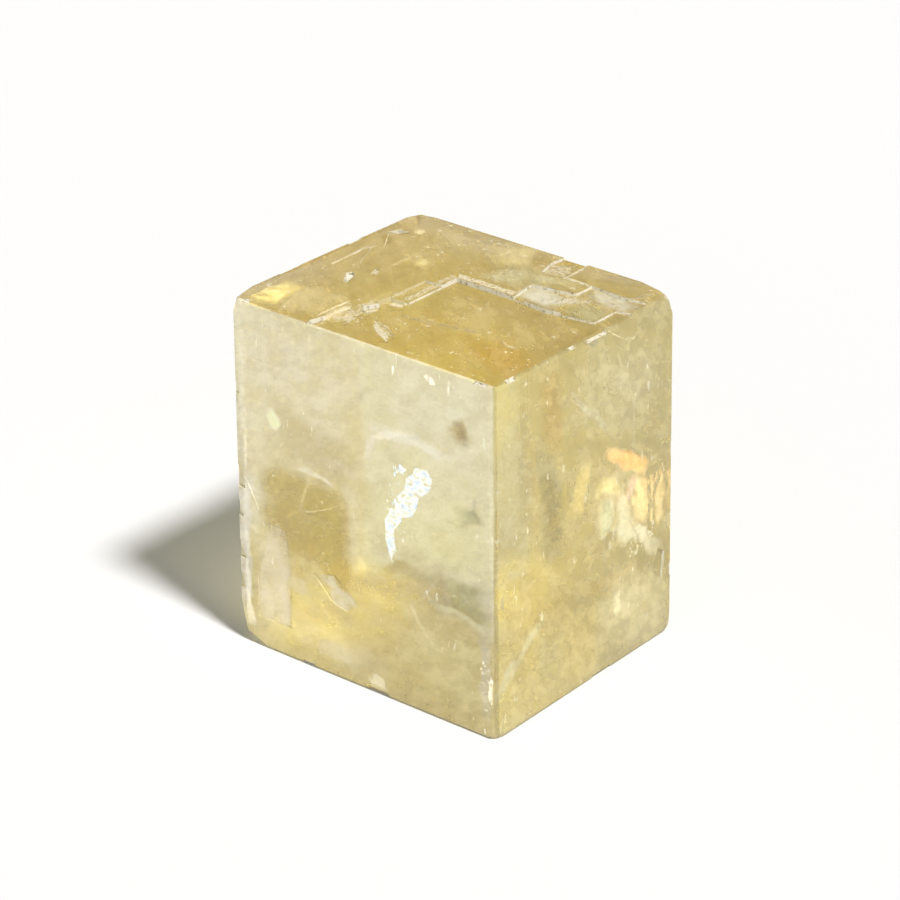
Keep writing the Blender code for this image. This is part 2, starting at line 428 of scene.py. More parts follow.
class Paint:
    """Builds the nodes of one material, or of the surroundings."""

    def __init__(self, owner: bpy.types.Material | bpy.types.World) -> None:
        """Empty the node tree of a material or a world.

        Args:
            owner: The material or the world.
        """
        owner.use_nodes = True
        self.owner = owner
        self.tree = owner.node_tree
        self.tree.nodes.clear()

    @classmethod
    def named(cls, name: str) -> "Paint":
        """Start a new material of that name."""
        return cls(bpy.data.materials.new(name))

    def node(self, kind: str, settings: dict[str, Any] | None = None,
             values: dict[Any, Any] | None = None) -> bpy.types.Node:
        """Add one node.

        Args:
            kind: The node's type without its ShaderNode prefix.
            settings: Properties that are set first.
            values: Plain values or wires for its input sockets, by name or index.

        Returns:
            The new node.
        """
        made = self.tree.nodes.new("ShaderNode" + kind)
        for key, value in (settings or {}).items():
            setattr(made, key, value)
        for key, value in (values or {}).items():
            self.feed(made.inputs[key], value)
        return made

    def feed(self, socket: bpy.types.NodeSocket, value: Any) -> None:
        """Link a wire into a socket, or set its plain value.

        Args:
            socket: The input socket.
            value: A wire, another node's socket, a number, a colour or a vector.
        """
        if isinstance(value, Wire):
            self.tree.links.new(value.socket, socket)
        elif isinstance(value, bpy.types.NodeSocket):
            self.tree.links.new(value, socket)
        elif isinstance(value, tuple) and len(value) == 3 and socket.type == "RGBA":
            socket.default_value = (*value, 1.0)
        else:
            socket.default_value = value

    def wire(self, made: bpy.types.Node, output: Any = 0) -> Wire:
        """One output of a node as a wire."""
        return Wire(self, made.outputs[output])

    def math(self, operation: str, *values: Wire | float) -> Wire:
        """A Math node.

        Args:
            operation: What it works out.
            *values: Its inputs.

        Returns:
            The result.
        """
        return self.wire(self.node("Math", {"operation": operation}, dict(enumerate(values))))

    def larger(self, first: Wire, second: Wire) -> Wire:
        """The larger of two values."""
        return self.math("MAXIMUM", first, second)

    def rise(self, value: Wire, low: float, high: float, top: float = 1.0,
             bottom: float = 0.0) -> Wire:
        """A smooth step.

        Args:
            value: What it follows.
            low: Where it starts.
            high: Where it ends.
            top: Its height at the end and past it.
            bottom: Its height up to the start.

        Returns:
            The step's height.
        """
        limits = {"Value": value, "From Min": low, "From Max": high, "To Min": bottom,
                  "To Max": top}
        return self.wire(self.node("MapRange", {"interpolation_type": "SMOOTHSTEP"}, limits))

    def vector(self, operation: str, *values: Any) -> bpy.types.Node:
        """A Vector Math node of that operation."""
        return self.node("VectorMath", {"operation": operation}, dict(enumerate(values)))

    def blend(self, factor: Wire | float, first: Any, second: Any) -> Wire:
        """A colour between two colours.

        Args:
            factor: The share of the second, from 0 to 1.
            first: The first colour.
            second: The second colour.

        Returns:
            The mixed colour.
        """
        made = self.node("Mix", {"data_type": "RGBA"})
        self.feed(made.inputs[0], factor)
        self.feed(made.inputs[6], first)
        self.feed(made.inputs[7], second)
        return self.wire(made, 2)

    def either(self, share: Wire | float, first: Wire, second: Wire) -> Wire:
        """A mix of two shaders, the first where the share is 0."""
        return self.wire(self.node("MixShader", None, {0: share, 1: first, 2: second}))

    def shader(self, values: dict[str, Any]) -> Wire:
        """A Principled shader with those values."""
        return self.wire(self.node("BsdfPrincipled", None, values))

    def see_through(self, colour: Colour) -> Wire:
        """A shader that lets light straight through and colours it."""
        return self.wire(self.node("BsdfTransparent", None, {"Color": colour}))

    def crystal_place(self) -> Wire:
        """The place in the crystal.

        Returns:
            Its a, b and h in millimetres, as a vector.
        """
        coordinates = self.node("TexCoord")
        local = self.vector("SUBTRACT", Wire(self, coordinates.outputs["Object"]),
                            tuple(AXES.origin))
        parts = [self.wire(self.vector("DOT_PRODUCT", self.wire(local), tuple(reader)), "Value")
                 for reader in AXES.readers()]
        joined = self.node("CombineXYZ", None, dict(enumerate(parts)))
        return self.wire(joined)

    def split(self, place: Wire) -> tuple[Wire, Wire, Wire]:
        """The three numbers of a vector."""
        parts = self.node("SeparateXYZ", None, {0: place})
        return self.wire(parts, 0), self.wire(parts, 1), self.wire(parts, 2)

    def stretched(self, place: Wire, factors: Point3, shift: Point3 = (0, 0, 0)) -> Wire:
        """A vector scaled along a, b and h, and moved."""
        scaled = self.wire(self.vector("MULTIPLY", place, factors))
        return self.wire(self.vector("ADD", scaled, shift))

    def cloud(self, place: Wire, scale: float, detail: float = 0.0,
              roughness: float = 0.55) -> Wire:
        """Noise from 0 to 1, about 0.5.

        Args:
            place: Where it is read.
            scale: How fine it is, for each unit of the place.
            detail: How many finer layers it has.
            roughness: How strong those are.

        Returns:
            The noise.
        """
        values = {"Vector": place, "Scale": scale, "Detail": detail, "Roughness": roughness}
        return self.wire(self.node("TexNoise", None, values), "Fac")

    def bump(self, height: Wire, strength: float, distance: float) -> Wire:
        """A bump of the surface, its distance in millimetres."""
        return self.wire(self.node("Bump", None, {
            "Strength": strength, "Distance": distance * MM, "Height": height}))

    def mosaic(self, place: Wire, scale: float) -> Wire:
        """A random value for each of many rhombic cells.

        Args:
            place: Where it is read.
            scale: How many cells there are for each unit of the place.

        Returns:
            The cell's value, from 0 to 1.
        """
        made = self.node("TexVoronoi", {"distance": "CHEBYCHEV"},
                         {"Vector": place, "Scale": scale})
        parts = self.node("SeparateXYZ", None, {0: self.wire(made, "Color")})
        return self.wire(parts, 0)

    def finish(self, surface: Wire, volume: Wire | None = None) -> bpy.types.Material:
        """Put the shader on the material's output.

        Args:
            surface: The surface shader.
            volume: The shader of what the surface encloses.

        Returns:
            The finished material.
        """
        end = self.node("OutputMaterial")
        self.feed(end.inputs["Surface"], surface)
        if volume is not None:
            self.feed(end.inputs["Volume"], volume)
        return self.owner


# ---------------------------------------------------------------- finishes


@dataclass(frozen=True)
class HazePatch:
    """A cloudy stretch of one face, a rounded block that fades out at its border.

    Attributes:
        centre: Its middle along the two edges that span the face, in millimetres.
        radii: Its half sizes along those edges, in millimetres.
        amount: How much haze it adds, or takes away where negative.
        tint: The colour of the haze in it.
        angle: How far it is turned from the first edge to the second, in degrees.
        firm: Where the fading starts: 0 at its middle, nearly 1 at its border.
    """

    centre: Point2
    radii: Point2
    amount: float
    tint: Colour
    angle: float = 0.0
    firm: float = 0.35

    def mask(self, paint: Paint, face: Face, place: Wire) -> Wire:
        """Where the patch is.

        Args:
            paint: The material's builder.
            face: The face that it lies on.
            place: The place along a, b and h.

        Returns:
            1 inside the patch, fading out towards its border.
        """
        first, second = face.across
        sizes = [FAR_AWAY, FAR_AWAY, FAR_AWAY]
        sizes[first], sizes[second] = self.radii
        turn = [0.0, 0.0, 0.0]
        turn[face.axis] = math.radians(self.angle) * (-1.0 if face.axis == 1 else 1.0)
        local = paint.wire(paint.node("Mapping", {"vector_type": "TEXTURE"}, {
            "Vector": place, "Location": face.place(self.centre, 0.0),
            "Rotation": tuple(turn), "Scale": tuple(sizes)}))
        square = paint.wire(paint.vector("MULTIPLY", local, local))
        reach = paint.wire(paint.vector("LENGTH", square), "Value")
        return 1.0 - paint.rise(reach, self.firm ** 2, 1.0)


@dataclass(frozen=True)
class FaceHaze:
    """The haze of one whole face.

    Attributes:
        face: The face.
        cover: How much haze it has between the patches.
        tint: The colour of the haze between the patches.
        flecks: How strongly small pale splinters show in it.
        patches: Where it differs.
    """

    face: Face
    cover: float
    tint: Colour
    flecks: float
    patches: tuple[HazePatch, ...]


FAR_AWAY = 100.0   # a half size past every patch, in millimetres
PURE_WHITE: Colour = (1.0, 1.0, 1.0)
HAZE_ROUGHNESS = 0.55
HAZE_IOR = 1.45
# How far from a face, in millimetres, the skin of one face gives way to the next
FACE_BAND: Point2 = (0.14, 0.34)
LEDGE_BAND: Point2 = (0.8, 1.0)
BACK_BAND: Point2 = (0.7, 0.9)
BORDER_BAND: Point2 = (0.30, 0.50)
REAR_BORDER_BAND: Point2 = (0.6, 1.0)
FOOT_BAND: Point2 = (0.15, 0.30)
SOLE_BAND: Point2 = (0.05, 0.15)
TOP_HAZE = FaceHaze(Face.TOP, 0.34, (0.61, 0.455, 0.165), 0.06, (
    HazePatch((3.4, 5.4), (5.0, 3.0), 0.12, (0.58, 0.36, 0.09), 25.0, 0.0),
    HazePatch((8.0, 11.4), (8.0, 4.0), 0.06, (0.68, 0.53, 0.23), firm=0.0),
    HazePatch((22.6, 3.4), (3.4, 3.4), 0.10, (0.84, 0.68, 0.32), firm=0.0),
    HazePatch((26.2, 3.0), (1.4, 3.4), 0.14, (1.0, 0.80, 0.24), -6.0, 0.1),
    HazePatch((15.6, 22.9), (2.2, 2.8), 0.14, (0.88, 0.72, 0.34), -30.0, 0.2),
    HazePatch((20.0, 21.4), (5.0, 3.0), 0.03, (0.70, 0.55, 0.26), firm=0.0),
    HazePatch((11.6, 19.4), (4.4, 3.4), 0.10, (0.54, 0.47, 0.26), firm=0.0),
    HazePatch((8.0, 17.4), (3.0, 2.0), 0.12, (0.70, 0.66, 0.50), 8.0, 0.1),
    HazePatch((3.2, 17.4), (1.9, 2.1), 0.10, (0.46, 0.42, 0.22), firm=0.5),
    HazePatch((3.0, 20.6), (3.4, 1.4), 0.10, (0.68, 0.64, 0.47), 4.0, 0.1),
))
# The pale cream haze of the front left face is partly its own cloudiness and partly painted
# reflection of the bright surroundings.
LEFT_HAZE_AND_REFLECTION = FaceHaze(Face.FRONT_LEFT, 0.51, (1.0, 0.96, 0.73), 0.40, (
    # golden lower part, the amber window and the darker band beside it
    HazePatch((13.0, 3.8), (23.0, 9.8), -0.12, (0.95, 0.82, 0.42), firm=0.4),
    HazePatch((21.4, 14.8), (5.8, 5.4), -0.10, (0.46, 0.36, 0.18), firm=0.5),
    HazePatch((18.2, 12.2), (2.6, 6.0), 0.05, (0.42, 0.33, 0.15), -8.0, 0.0),
    HazePatch((9.2, 12.0), (8.0, 2.4), -0.04, (0.66, 0.58, 0.38), -6.0, 0.1),
    HazePatch((12.4, 16.2), (3.9, 5.0), 0.01, (0.98, 0.94, 0.66), 4.0, 0.7),
    HazePatch((6.4, 17.6), (8.0, 5.0), 0.04, (1.0, 0.96, 0.60), -8.0, 0.0),
    HazePatch((3.0, 12.4), (2.3, 2.3), 0.08, (0.62, 0.59, 0.33), firm=0.5),
    # tan stretch, paler clouds above and around the glint, partly painted reflection
    HazePatch((20.0, 21.8), (6.4, 3.2), -0.05, (0.80, 0.75, 0.58), 14.0, 0.0),
    HazePatch((21.6, 28.6), (7.4, 4.4), 0.08, (1.0, 0.95, 0.76), 20.0, 0.0),
    HazePatch((6.0, 29.0), (7.0, 4.4), 0.08, (1.0, 0.97, 0.74), -10.0, 0.0),
    HazePatch((9.0, 21.0), (5.0, 4.4), 0.06, (0.98, 0.95, 0.66), -40.0, 0.0),
    HazePatch((3.6, 28.2), (1.0, 1.8), 0.12, (0.54, 0.41, 0.20), -30.0, 0.0),
    HazePatch((2.6, 20.6), (1.9, 1.2), 0.10, (0.66, 0.64, 0.36), -20.0, 0.0),
    HazePatch((10.2, 13.2), (3.4, 0.9), 0.03, (0.72, 0.63, 0.34), -20.0, 0.0),
    HazePatch((9.4, 26.0), (5.0, 0.7), 0.16, (1.0, 0.98, 0.82), 4.0, 0.0),
    HazePatch((13.4, 24.2), (0.5, 1.6), 0.07, (1.0, 0.97, 0.80), 24.0, 0.0),
    HazePatch((3.6, 11.0), (5.0, 0.6), 0.06, (0.96, 0.92, 0.62), 8.0, 0.0),
    # pale layers at the left, bright and golden stretches low down
    HazePatch((28.3, 9.6), (1.0, 8.8), 0.16, (0.98, 0.95, 0.84), 1.0, 0.4),
    HazePatch((28.7, 25.0), (1.1, 9.0), 0.16, (1.0, 0.96, 0.74), 0.0, 0.2),
    # a painted glint: strong pale haze on one small spot
    HazePatch((24.5, 23.2), (0.7, 1.2), 0.50, (1.0, 1.0, 0.62), -34.0, 0.0),
    HazePatch((25.0, 7.0), (2.6, 6.4), 0.02, (0.92, 0.85, 0.64), 4.0, 0.3),
    HazePatch((18.6, 7.4), (4.4, 2.8), 0.10, (0.70, 0.62, 0.40), 14.0, 0.0),
    HazePatch((17.6, 3.0), (6.8, 2.0), 0.04, (1.0, 0.89, 0.56), 8.0, 0.0),
    HazePatch((5.6, 6.2), (7.0, 4.4), 0.10, (0.97, 0.87, 0.47), 10.0, 0.0),
    HazePatch((1.2, 6.6), (0.8, 5.4), 0.10, (0.90, 0.84, 0.62), firm=0.4),
))
RIGHT_HAZE = FaceHaze(Face.FRONT_RIGHT, 0.34, (0.66, 0.60, 0.33), 0.06, (
    # pale band, honey below it, olive fold
    HazePatch((2.3, 22.0), (3.4, 10.4), 0.14, (0.47, 0.45, 0.31), firm=0.3),
    HazePatch((2.8, 11.8), (3.8, 4.6), 0.18, (0.46, 0.39, 0.21), -30.0, 0.0),
    HazePatch((8.0, 28.6), (1.9, 6.0), 0.12, (0.56, 0.42, 0.18), 6.0, 0.0),
    HazePatch((7.9, 18.8), (1.8, 6.6), 0.18, (0.40, 0.34, 0.15), 8.0, 0.0),
    HazePatch((17.0, 27.4), (8.0, 5.0), 0.06, (0.72, 0.68, 0.44), -24.0, 0.0),
    HazePatch((7.0, 9.6), (6.0, 3.4), 0.10, (0.58, 0.46, 0.20), -24.0, 0.0),
    # flames: painted reflections off inner cleavage planes
    HazePatch((17.8, 16.4), (6.4, 4.0), 0.10, (0.80, 0.69, 0.38), -40.0, 0.0),
    HazePatch((11.7, 19.6), (1.5, 3.2), 0.16, (0.96, 0.78, 0.32), -20.0, 0.2),
    HazePatch((18.9, 19.9), (4.2, 0.9), 0.30, (1.0, 0.55, 0.19), -34.0, 0.2),
    HazePatch((20.8, 15.4), (1.0, 2.8), 0.22, (1.0, 0.78, 0.36), 4.0, 0.1),
    HazePatch((23.8, 13.8), (0.9, 2.6), 0.26, (1.0, 0.80, 0.38), firm=0.1),
    HazePatch((15.9, 18.4), (1.9, 1.2), 0.20, (1.0, 0.86, 0.38), -20.0, 0.2),
    HazePatch((15.6, 15.2), (1.3, 2.0), 0.14, (0.86, 0.86, 0.50), 10.0, 0.1),
    HazePatch((18.4, 14.6), (1.1, 2.4), 0.16, (0.86, 0.80, 0.50), 30.0, 0.0),
    HazePatch((18.6, 12.8), (2.6, 1.2), 0.18, (0.84, 0.80, 0.50), -38.0, 0.0),
    HazePatch((19.2, 16.8), (1.1, 1.5), 0.16, (1.0, 0.68, 0.44), -30.0, 0.1),
    # pale and honey patches low down
    HazePatch((22.0, 10.6), (3.4, 1.0), 0.20, (0.82, 0.76, 0.48), -38.0, 0.1),
    HazePatch((15.6, 8.8), (5.4, 1.3), 0.06, (0.62, 0.49, 0.22), -12.0, 0.1),
    HazePatch((17.5, 6.2), (0.7, 1.2), 0.28, (0.90, 0.88, 0.52), 20.0, 0.2),
    HazePatch((12.0, 4.4), (4.0, 5.0), 0.08, (0.80, 0.66, 0.29), firm=0.0),
    HazePatch((19.6, 4.6), (7.0, 4.4), 0.17, (0.84, 0.75, 0.42), -20.0, 0.0),
    HazePatch((3.4, 5.0), (4.4, 5.0), 0.18, (0.60, 0.50, 0.24), 0.0, 0.0),
    HazePatch((4.0, 7.0), (4.4, 0.7), 0.06, (0.64, 0.60, 0.38), 42.0, 0.0),
    HazePatch((1.4, 5.6), (3.0, 0.6), 0.06, (0.60, 0.58, 0.38), 54.0, 0.0),
    HazePatch((13.4, 26.4), (4.8, 0.4), 0.08, (0.76, 0.74, 0.54), -46.0, 0.0),
))


@dataclass(frozen=True)
class HoneyCalcite:
    """Clear yellow calcite with a lightly worn, faintly hazy skin.

    Attributes:
        ior: Refractive index.
        polish: Roughness of the clear faces.
        honey: Colour that the crystal lets through.
        strength: How fast it takes the other colours out, per metre.
        haze_gold: The colour that all haze turns to in wisps.
        splinter: The colour of small pale splinters in the haze.
        far_haze: Colour of the cloudy skin on the back faces and the bottom.
        far_pale: The colour that it turns to in patches.
        far_cover: How much of those it covers at least, from 0 to 1.
        mean_haze: The mean colour of all haze, for light that has turned often already.
        mean_cover: How much of it there is on the whole.
        top: The haze of the top.
        left: The haze of the front left face, partly painted reflection of the bright
            surroundings.
        right: The haze of the front right face.
        drift: The direction that wisps of haze follow, along a, b and h.
        drawn_out: How far the wisps are drawn out along it, from 0 to 1.
        waver_scale: How fine the waver of the patches' borders is, for each millimetre.
        waver_reach: How far it moves them, in millimetres.
        block_scale: How many blocks of slightly different haze there are for each millimetre.
        wisp_share: How much of the haze comes in wisps.
        block_share: How much of it comes in blocks.
        even_share: How much of it is even.
        wall: Colour of the light that goes straight through a side wall.
        lid: Colour of the light that goes straight through the top or the bottom.
    """

    ior: float = CALCITE_IOR
    polish: float = 0.12
    honey: Colour = (0.912, 0.838, 0.13)
    strength: float = 36.0
    haze_gold: Colour = (0.84, 0.72, 0.40)
    splinter: Colour = (1.0, 0.96, 0.74)
    far_haze: Colour = (0.62, 0.52, 0.30)
    far_pale: Colour = (0.72, 0.66, 0.46)
    far_cover: float = 0.45
    mean_haze: Colour = (0.74, 0.64, 0.38)
    mean_cover: float = 0.48
    wall: Colour = (0.05, 0.05, 0.01)
    lid: Colour = (0.90, 0.90, 0.92)
    top: FaceHaze = TOP_HAZE
    left: FaceHaze = LEFT_HAZE_AND_REFLECTION
    right: FaceHaze = RIGHT_HAZE
    drift: Point3 = (0.72, 0.58, -0.38)
    drawn_out: float = 0.82
    waver_scale: float = 0.34
    waver_reach: float = 2.2
    block_scale: float = 0.20
    wisp_share: float = 0.46
    block_share: float = 0.10
    even_share: float = 0.72

    def material(self) -> bpy.types.Material:
        """Paint the crystal's own material.

        Returns:
            The material.
        """
        paint = Paint.named("honey_calcite_clear")
        place = paint.crystal_place()
        relief = self.relief(paint, place)
        a, b, h = paint.split(place)
        waver = self.waver(paint, place)
        blocks = paint.rise(paint.mosaic(waver, self.block_scale), 0.15, 0.85)
        wisps = self.wisps(paint, place)
        mottle = wisps * self.wisp_share + blocks * self.block_share + self.even_share
        flecks = self.flecks(paint, place) * blocks
        clear = paint.shader({
            "Base Color": PURE_WHITE, "Roughness": blocks * 0.08 + self.polish,
            "IOR": self.ior, "Transmission Weight": 1.0, "Normal": relief})
        left, right, top = (
            self.near_skin(paint, haze, waver, wisps, mottle, flecks, clear, relief)
            for haze in (self.left, self.right, self.top))
        cloudy = paint.blend(blocks, self.far_haze, self.far_pale)
        rear = self.skin(paint, wisps * 0.25 + self.far_cover, cloudy, clear, relief)
        on_right = self.near_face(paint, EDGE_LENGTHS[0] - a, EDGE_LENGTHS[0], b)
        on_top = self.near_face(paint, h, EDGE_LENGTHS[2], paint.math("MINIMUM", a, b))
        sides = paint.either(on_right, left, right)
        fronts = paint.either(on_top, sides, top)
        skin = paint.either(self.far_side(paint, a, b, h), fronts, rear)
        whole = self.let_light_in(paint, skin, self.plain_skin(paint), h)
        return paint.finish(whole, self.inside(paint))

    def inside(self, paint: Paint) -> Wire:
        """What the crystal takes out of the light that crosses it."""
        return paint.wire(paint.node("VolumeAbsorption", None, {
            "Color": self.honey, "Density": self.strength}))

    def plain_skin(self, paint: Paint) -> Wire:
        """A smooth skin with the mean haze all over.

        Args:
            paint: The material's builder.

        Returns:
            The skin's shader.
        """
        smooth = paint.shader({"Base Color": PURE_WHITE, "Roughness": self.polish,
                               "IOR": self.ior, "Transmission Weight": 1.0})
        cloud = paint.shader({"Base Color": self.mean_haze, "Roughness": HAZE_ROUGHNESS,
                              "IOR": HAZE_IOR})
        return paint.either(self.mean_cover, smooth, cloud)

    @staticmethod
    def skin(paint: Paint, amount: Wire, tint: Wire, clear: Wire, relief: Wire) -> Wire:
        """Clear crystal with a share of haze of one colour over it.

        Args:
            paint: The material's builder.
            amount: The share of haze, from 0 to 1.
            tint: The haze's colour.
            clear: The shader of the clear crystal.
            relief: The bump of the surface.

        Returns:
            The skin's shader.
        """
        worn = paint.shader({"Base Color": tint, "Roughness": HAZE_ROUGHNESS, "IOR": HAZE_IOR,
                             "Normal": relief})
        return paint.either(amount, clear, worn)

    def near_skin(self, paint: Paint, haze: FaceHaze, place: Wire, wisps: Wire, mottle: Wire,
                  flecks: Wire, clear: Wire, relief: Wire) -> Wire:
        """The skin of one of the three faces that show patches.

        Args:
            paint: The material's builder.
            haze: The face's haze.
            place: The place along a, b and h, made to waver.
            wisps: Streaks of haze, from 0 to 1.
            mottle: How the haze varies everywhere, about 1.
            flecks: Small pale splinters, from 0 to 1.
            clear: The shader of the clear crystal.
            relief: The bump of its surface.

        Returns:
            The face's shader.
        """
        amount = haze.cover
        tint = haze.tint
        for patch in haze.patches:
            mask = patch.mask(paint, haze.face, place)
            amount = amount + mask * patch.amount
            tint = paint.blend(mask, tint, patch.tint)
        streaked = paint.blend(wisps * 0.16, tint, self.haze_gold)
        flecked = paint.blend(flecks, streaked, self.splinter)
        cloudy = amount * mottle + flecks * haze.flecks
        return self.skin(paint, cloudy, flecked, clear, relief)

    @staticmethod
    def near_face(paint: Paint, level: Wire, full: float, border: Wire) -> Wire:
        """Whether a place belongs to a face or to the floor of one of its ledges.

        Args:
            paint: The material's builder.
            level: Millimetres along the edge that crosses the face, towards it.
            full: The level of the face itself.
            border: Millimetres from the nearest border with a neighbouring front face.

        Returns:
            1 on the face and its ledges, 0 elsewhere.
        """
        surface = paint.rise(level, full - FACE_BAND[1], full - FACE_BAND[0])
        floors = paint.rise(level, full - LEDGE_BAND[1], full - LEDGE_BAND[0])
        return paint.larger(surface, floors * paint.rise(border, *BORDER_BAND))

    def let_light_in(self, paint: Paint, skin: Wire, plain: Wire, h: Wire) -> Wire:
        """Let shadow rays through, so that light reaches the cracks and the floor.

        Args:
            paint: The material's builder.
            skin: The crystal's skin.
            plain: A skin without patches, for light that has turned often already.
            h: Millimetres up from the bottom.

        Returns:
            The whole surface shader.
        """
        rays = paint.node("LightPath")
        often = paint.math("GREATER_THAN", paint.wire(rays, "Ray Depth"), 1.5)
        seen = paint.either(often, skin, plain)
        wall = paint.see_through(self.wall)
        lid = paint.see_through(self.lid)
        upper = paint.rise(h, EDGE_LENGTHS[2] - BACK_BAND[1], EDGE_LENGTHS[2] - BACK_BAND[0])
        ends = paint.larger(upper, 1.0 - paint.rise(h, *SOLE_BAND))
        passing = paint.either(ends, wall, lid)
        return paint.either(paint.wire(rays, "Is Shadow Ray"), seen, passing)

    def wisps(self, paint: Paint, place: Wire) -> Wire:
        """Thin streaks that follow one direction through the crystal.

        Args:
            paint: The material's builder.
            place: The place along a, b and h.

        Returns:
            1 in the streaks, 0 between them.
        """
        way = Vector(self.drift).normalized()
        along = paint.wire(paint.vector("DOT_PRODUCT", place, tuple(way)), "Value")
        back = paint.node("VectorMath", {"operation": "SCALE"}, {
            0: tuple(way * -self.drawn_out), "Scale": along})
        streaked = paint.wire(paint.vector("ADD", place, paint.wire(back)))
        return paint.rise(paint.cloud(streaked, 0.7, detail=3.0, roughness=0.62), 0.34, 0.68)

    @staticmethod
    def flecks(paint: Paint, place: Wire) -> Wire:
        """Small pale splinters here and there.

        Args:
            paint: The material's builder.
            place: The place along a, b and h.

        Returns:
            1 on the splinters, 0 between them.
        """
        grain = paint.cloud(paint.stretched(place, (1.3, 1.3, 0.45)), 1.0, detail=2.0,
                            roughness=0.75)
        return paint.rise(grain, 0.63, 0.71)

    def waver(self, paint: Paint, place: Wire) -> Wire:
        """Move the place about smoothly, so that straight patterns turn uneven.

        Args:
            paint: The material's builder.
            place: The place along a, b and h.

        Returns:
            The moved place.
        """
        drift = paint.wire(paint.node("TexNoise", None, {
            "Vector": place, "Scale": self.waver_scale, "Detail": 1.0}), "Color")
        centred = paint.wire(paint.vector("SUBTRACT", drift, (0.5, 0.5, 0.5)))
        reach = (self.waver_reach,) * 3
        return paint.wire(paint.vector("MULTIPLY_ADD", centred, reach, place))

    def relief(self, paint: Paint, place: Wire) -> Wire:
        """Fine cleavage lines along the edges, and a slight waviness.

        Args:
            paint: The material's builder.
            place: The place along a, b and h.

        Returns:
            The bump.
        """
        fine = [paint.cloud(paint.stretched(place, factors), 1.0)
                for factors in ((3.2, 3.2, 0.10), (0.10, 3.0, 3.0))]
        steps = [paint.rise(line, 0.58, 0.62) for line in fine]
        wave = paint.cloud(place, 0.22)
        return paint.bump((steps[0] + steps[1]) * 0.25 + wave, 0.22, 0.06)

    @staticmethod
    def far_side(paint: Paint, a: Wire, b: Wire, h: Wire) -> Wire:
        """Whether a place is on the two back faces or on the bottom.

        Args:
            paint: The material's builder.
            a: Millimetres along the bottom left edge.
            b: Millimetres along the bottom right edge.
            h: Millimetres up from the bottom.

        Returns:
            1 there, 0 on the other faces.
        """
        long_a, long_b, long_h = EDGE_LENGTHS
        left = (paint.rise(a, long_a - LEDGE_BAND[1], long_a - LEDGE_BAND[0])
                * paint.rise(b, *REAR_BORDER_BAND))
        right = (paint.rise(b, long_b - BACK_BAND[1], long_b - BACK_BAND[0])
                 * paint.rise(a, *REAR_BORDER_BAND))
        sides = paint.larger(left, right) * (
            1.0 - paint.rise(h, long_h - LEDGE_BAND[1], long_h - LEDGE_BAND[0]))
        return paint.larger(sides, 1.0 - paint.rise(h, *FOOT_BAND))


@dataclass(frozen=True)
class FrostedBreak:
    """The whitish, finely splintered surface of small breaks and ledge walls.

    Attributes:
        pale: Its main colour.
        honey: The colour that it turns to in its hollows.
        ior: Refractive index of the frost.
        name: The material's name.
        cover: How much of the crystal it hides at most, from 0 to 1.
        bite: How strong its grain is.
    """

    pale: Colour = (0.84, 0.80, 0.66)
    honey: Colour = (0.70, 0.63, 0.42)
    ior: float = 1.5
    name: str = "frosted_break"
    cover: float = 0.92
    bite: float = 0.6

    def material(self) -> bpy.types.Material:
        """Paint the break's material.

        Returns:
            The material.
        """
        paint = Paint.named(self.name)
        grain = paint.cloud(paint.crystal_place(), 2.4, detail=5.0, roughness=0.65)
        tint = paint.blend(paint.rise(grain, 0.38, 0.55), self.honey, self.pale)
        bump = paint.bump(grain, self.bite, 0.05)
        frost = paint.shader({"Base Color": tint, "Roughness": 0.35, "IOR": self.ior,
                              "Normal": bump})
        clear = paint.shader({"Base Color": PURE_WHITE, "Roughness": 0.25, "IOR": CALCITE_IOR,
                              "Transmission Weight": 1.0, "Normal": bump})
        surface = paint.either(paint.rise(grain, 0.28, 0.48, self.cover), clear, frost)
        return paint.finish(surface, HoneyCalcite().inside(paint))


class Tone(Enum):
    """Colours of the cracks and veils inside the crystal. The blue-white and orange tones, and
    the glints among the bright and gold marks, are painted glints and reflections.
    """

    FROST = "frost"
    MIST = "mist"
    WHITE = "white"
    BRIGHT = "bright"
    CREAM = "cream"
    GOLD = "gold"
    # painted glint: blue-white reflection off an inner cleavage plane
    ICE = "ice"
    # painted reflection: orange flames off inner cleavage planes
    FLAME = "flame"
    OLIVE = "olive"
    SMOKE = "smoke"


@dataclass(frozen=True)
class VeilFinish:
    """A crack or veil: a thin film that is whole in places and open in others.

    Attributes:
        tone: Its name among the tones.
        colour: Its main colour.
        second: A second colour that it turns to in patches.
        cover: How much of it can be seen, from 0 to 1.
        ragged: How much of its area is broken open, from 0 to 1.
        soft: How gradual the change from whole to open is, from 0 to 1.
        grain: Size of its pattern, in patches per millimetre.
        stretch: How much the pattern is drawn out along a, b and h.
        glow: Strength of its emission. This is painted light: the film glows though it is no
            lamp, standing in for glints, reflections and light that the lamps don't bring inside.
        roughness: Its roughness.
    """

    tone: Tone
    colour: Colour
    second: Colour
    cover: float = 0.6
    ragged: float = 0.5
    soft: float = 0.10
    grain: float = 1.2
    stretch: Point3 = (1.0, 1.0, 1.0)
    glow: float = 0.0
    roughness: float = 0.4

    def material(self) -> bpy.types.Material:
        """Paint the film's material.

        Returns:
            The material.
        """
        paint = Paint.named("veil_" + self.tone.value)
        place = paint.stretched(paint.crystal_place(), self.stretch)
        patches = paint.cloud(place, self.grain, detail=2.0, roughness=0.6)
        middle = 0.34 + 0.30 * self.ragged
        inside = paint.wire(paint.node("Attribute", {"attribute_name": "inside"}), "Fac")
        mask = paint.rise(patches, middle - self.soft, middle + self.soft, self.cover) * (
            paint.rise(inside, 0.0, 0.95))
        tint = paint.blend(paint.rise(patches, 0.50, 0.66), self.colour, self.second)
        return paint.finish(paint.shader({
            "Base Color": tint, "Roughness": self.roughness, "Alpha": mask,
            "Emission Color": tint, "Emission Strength": self.glow}))
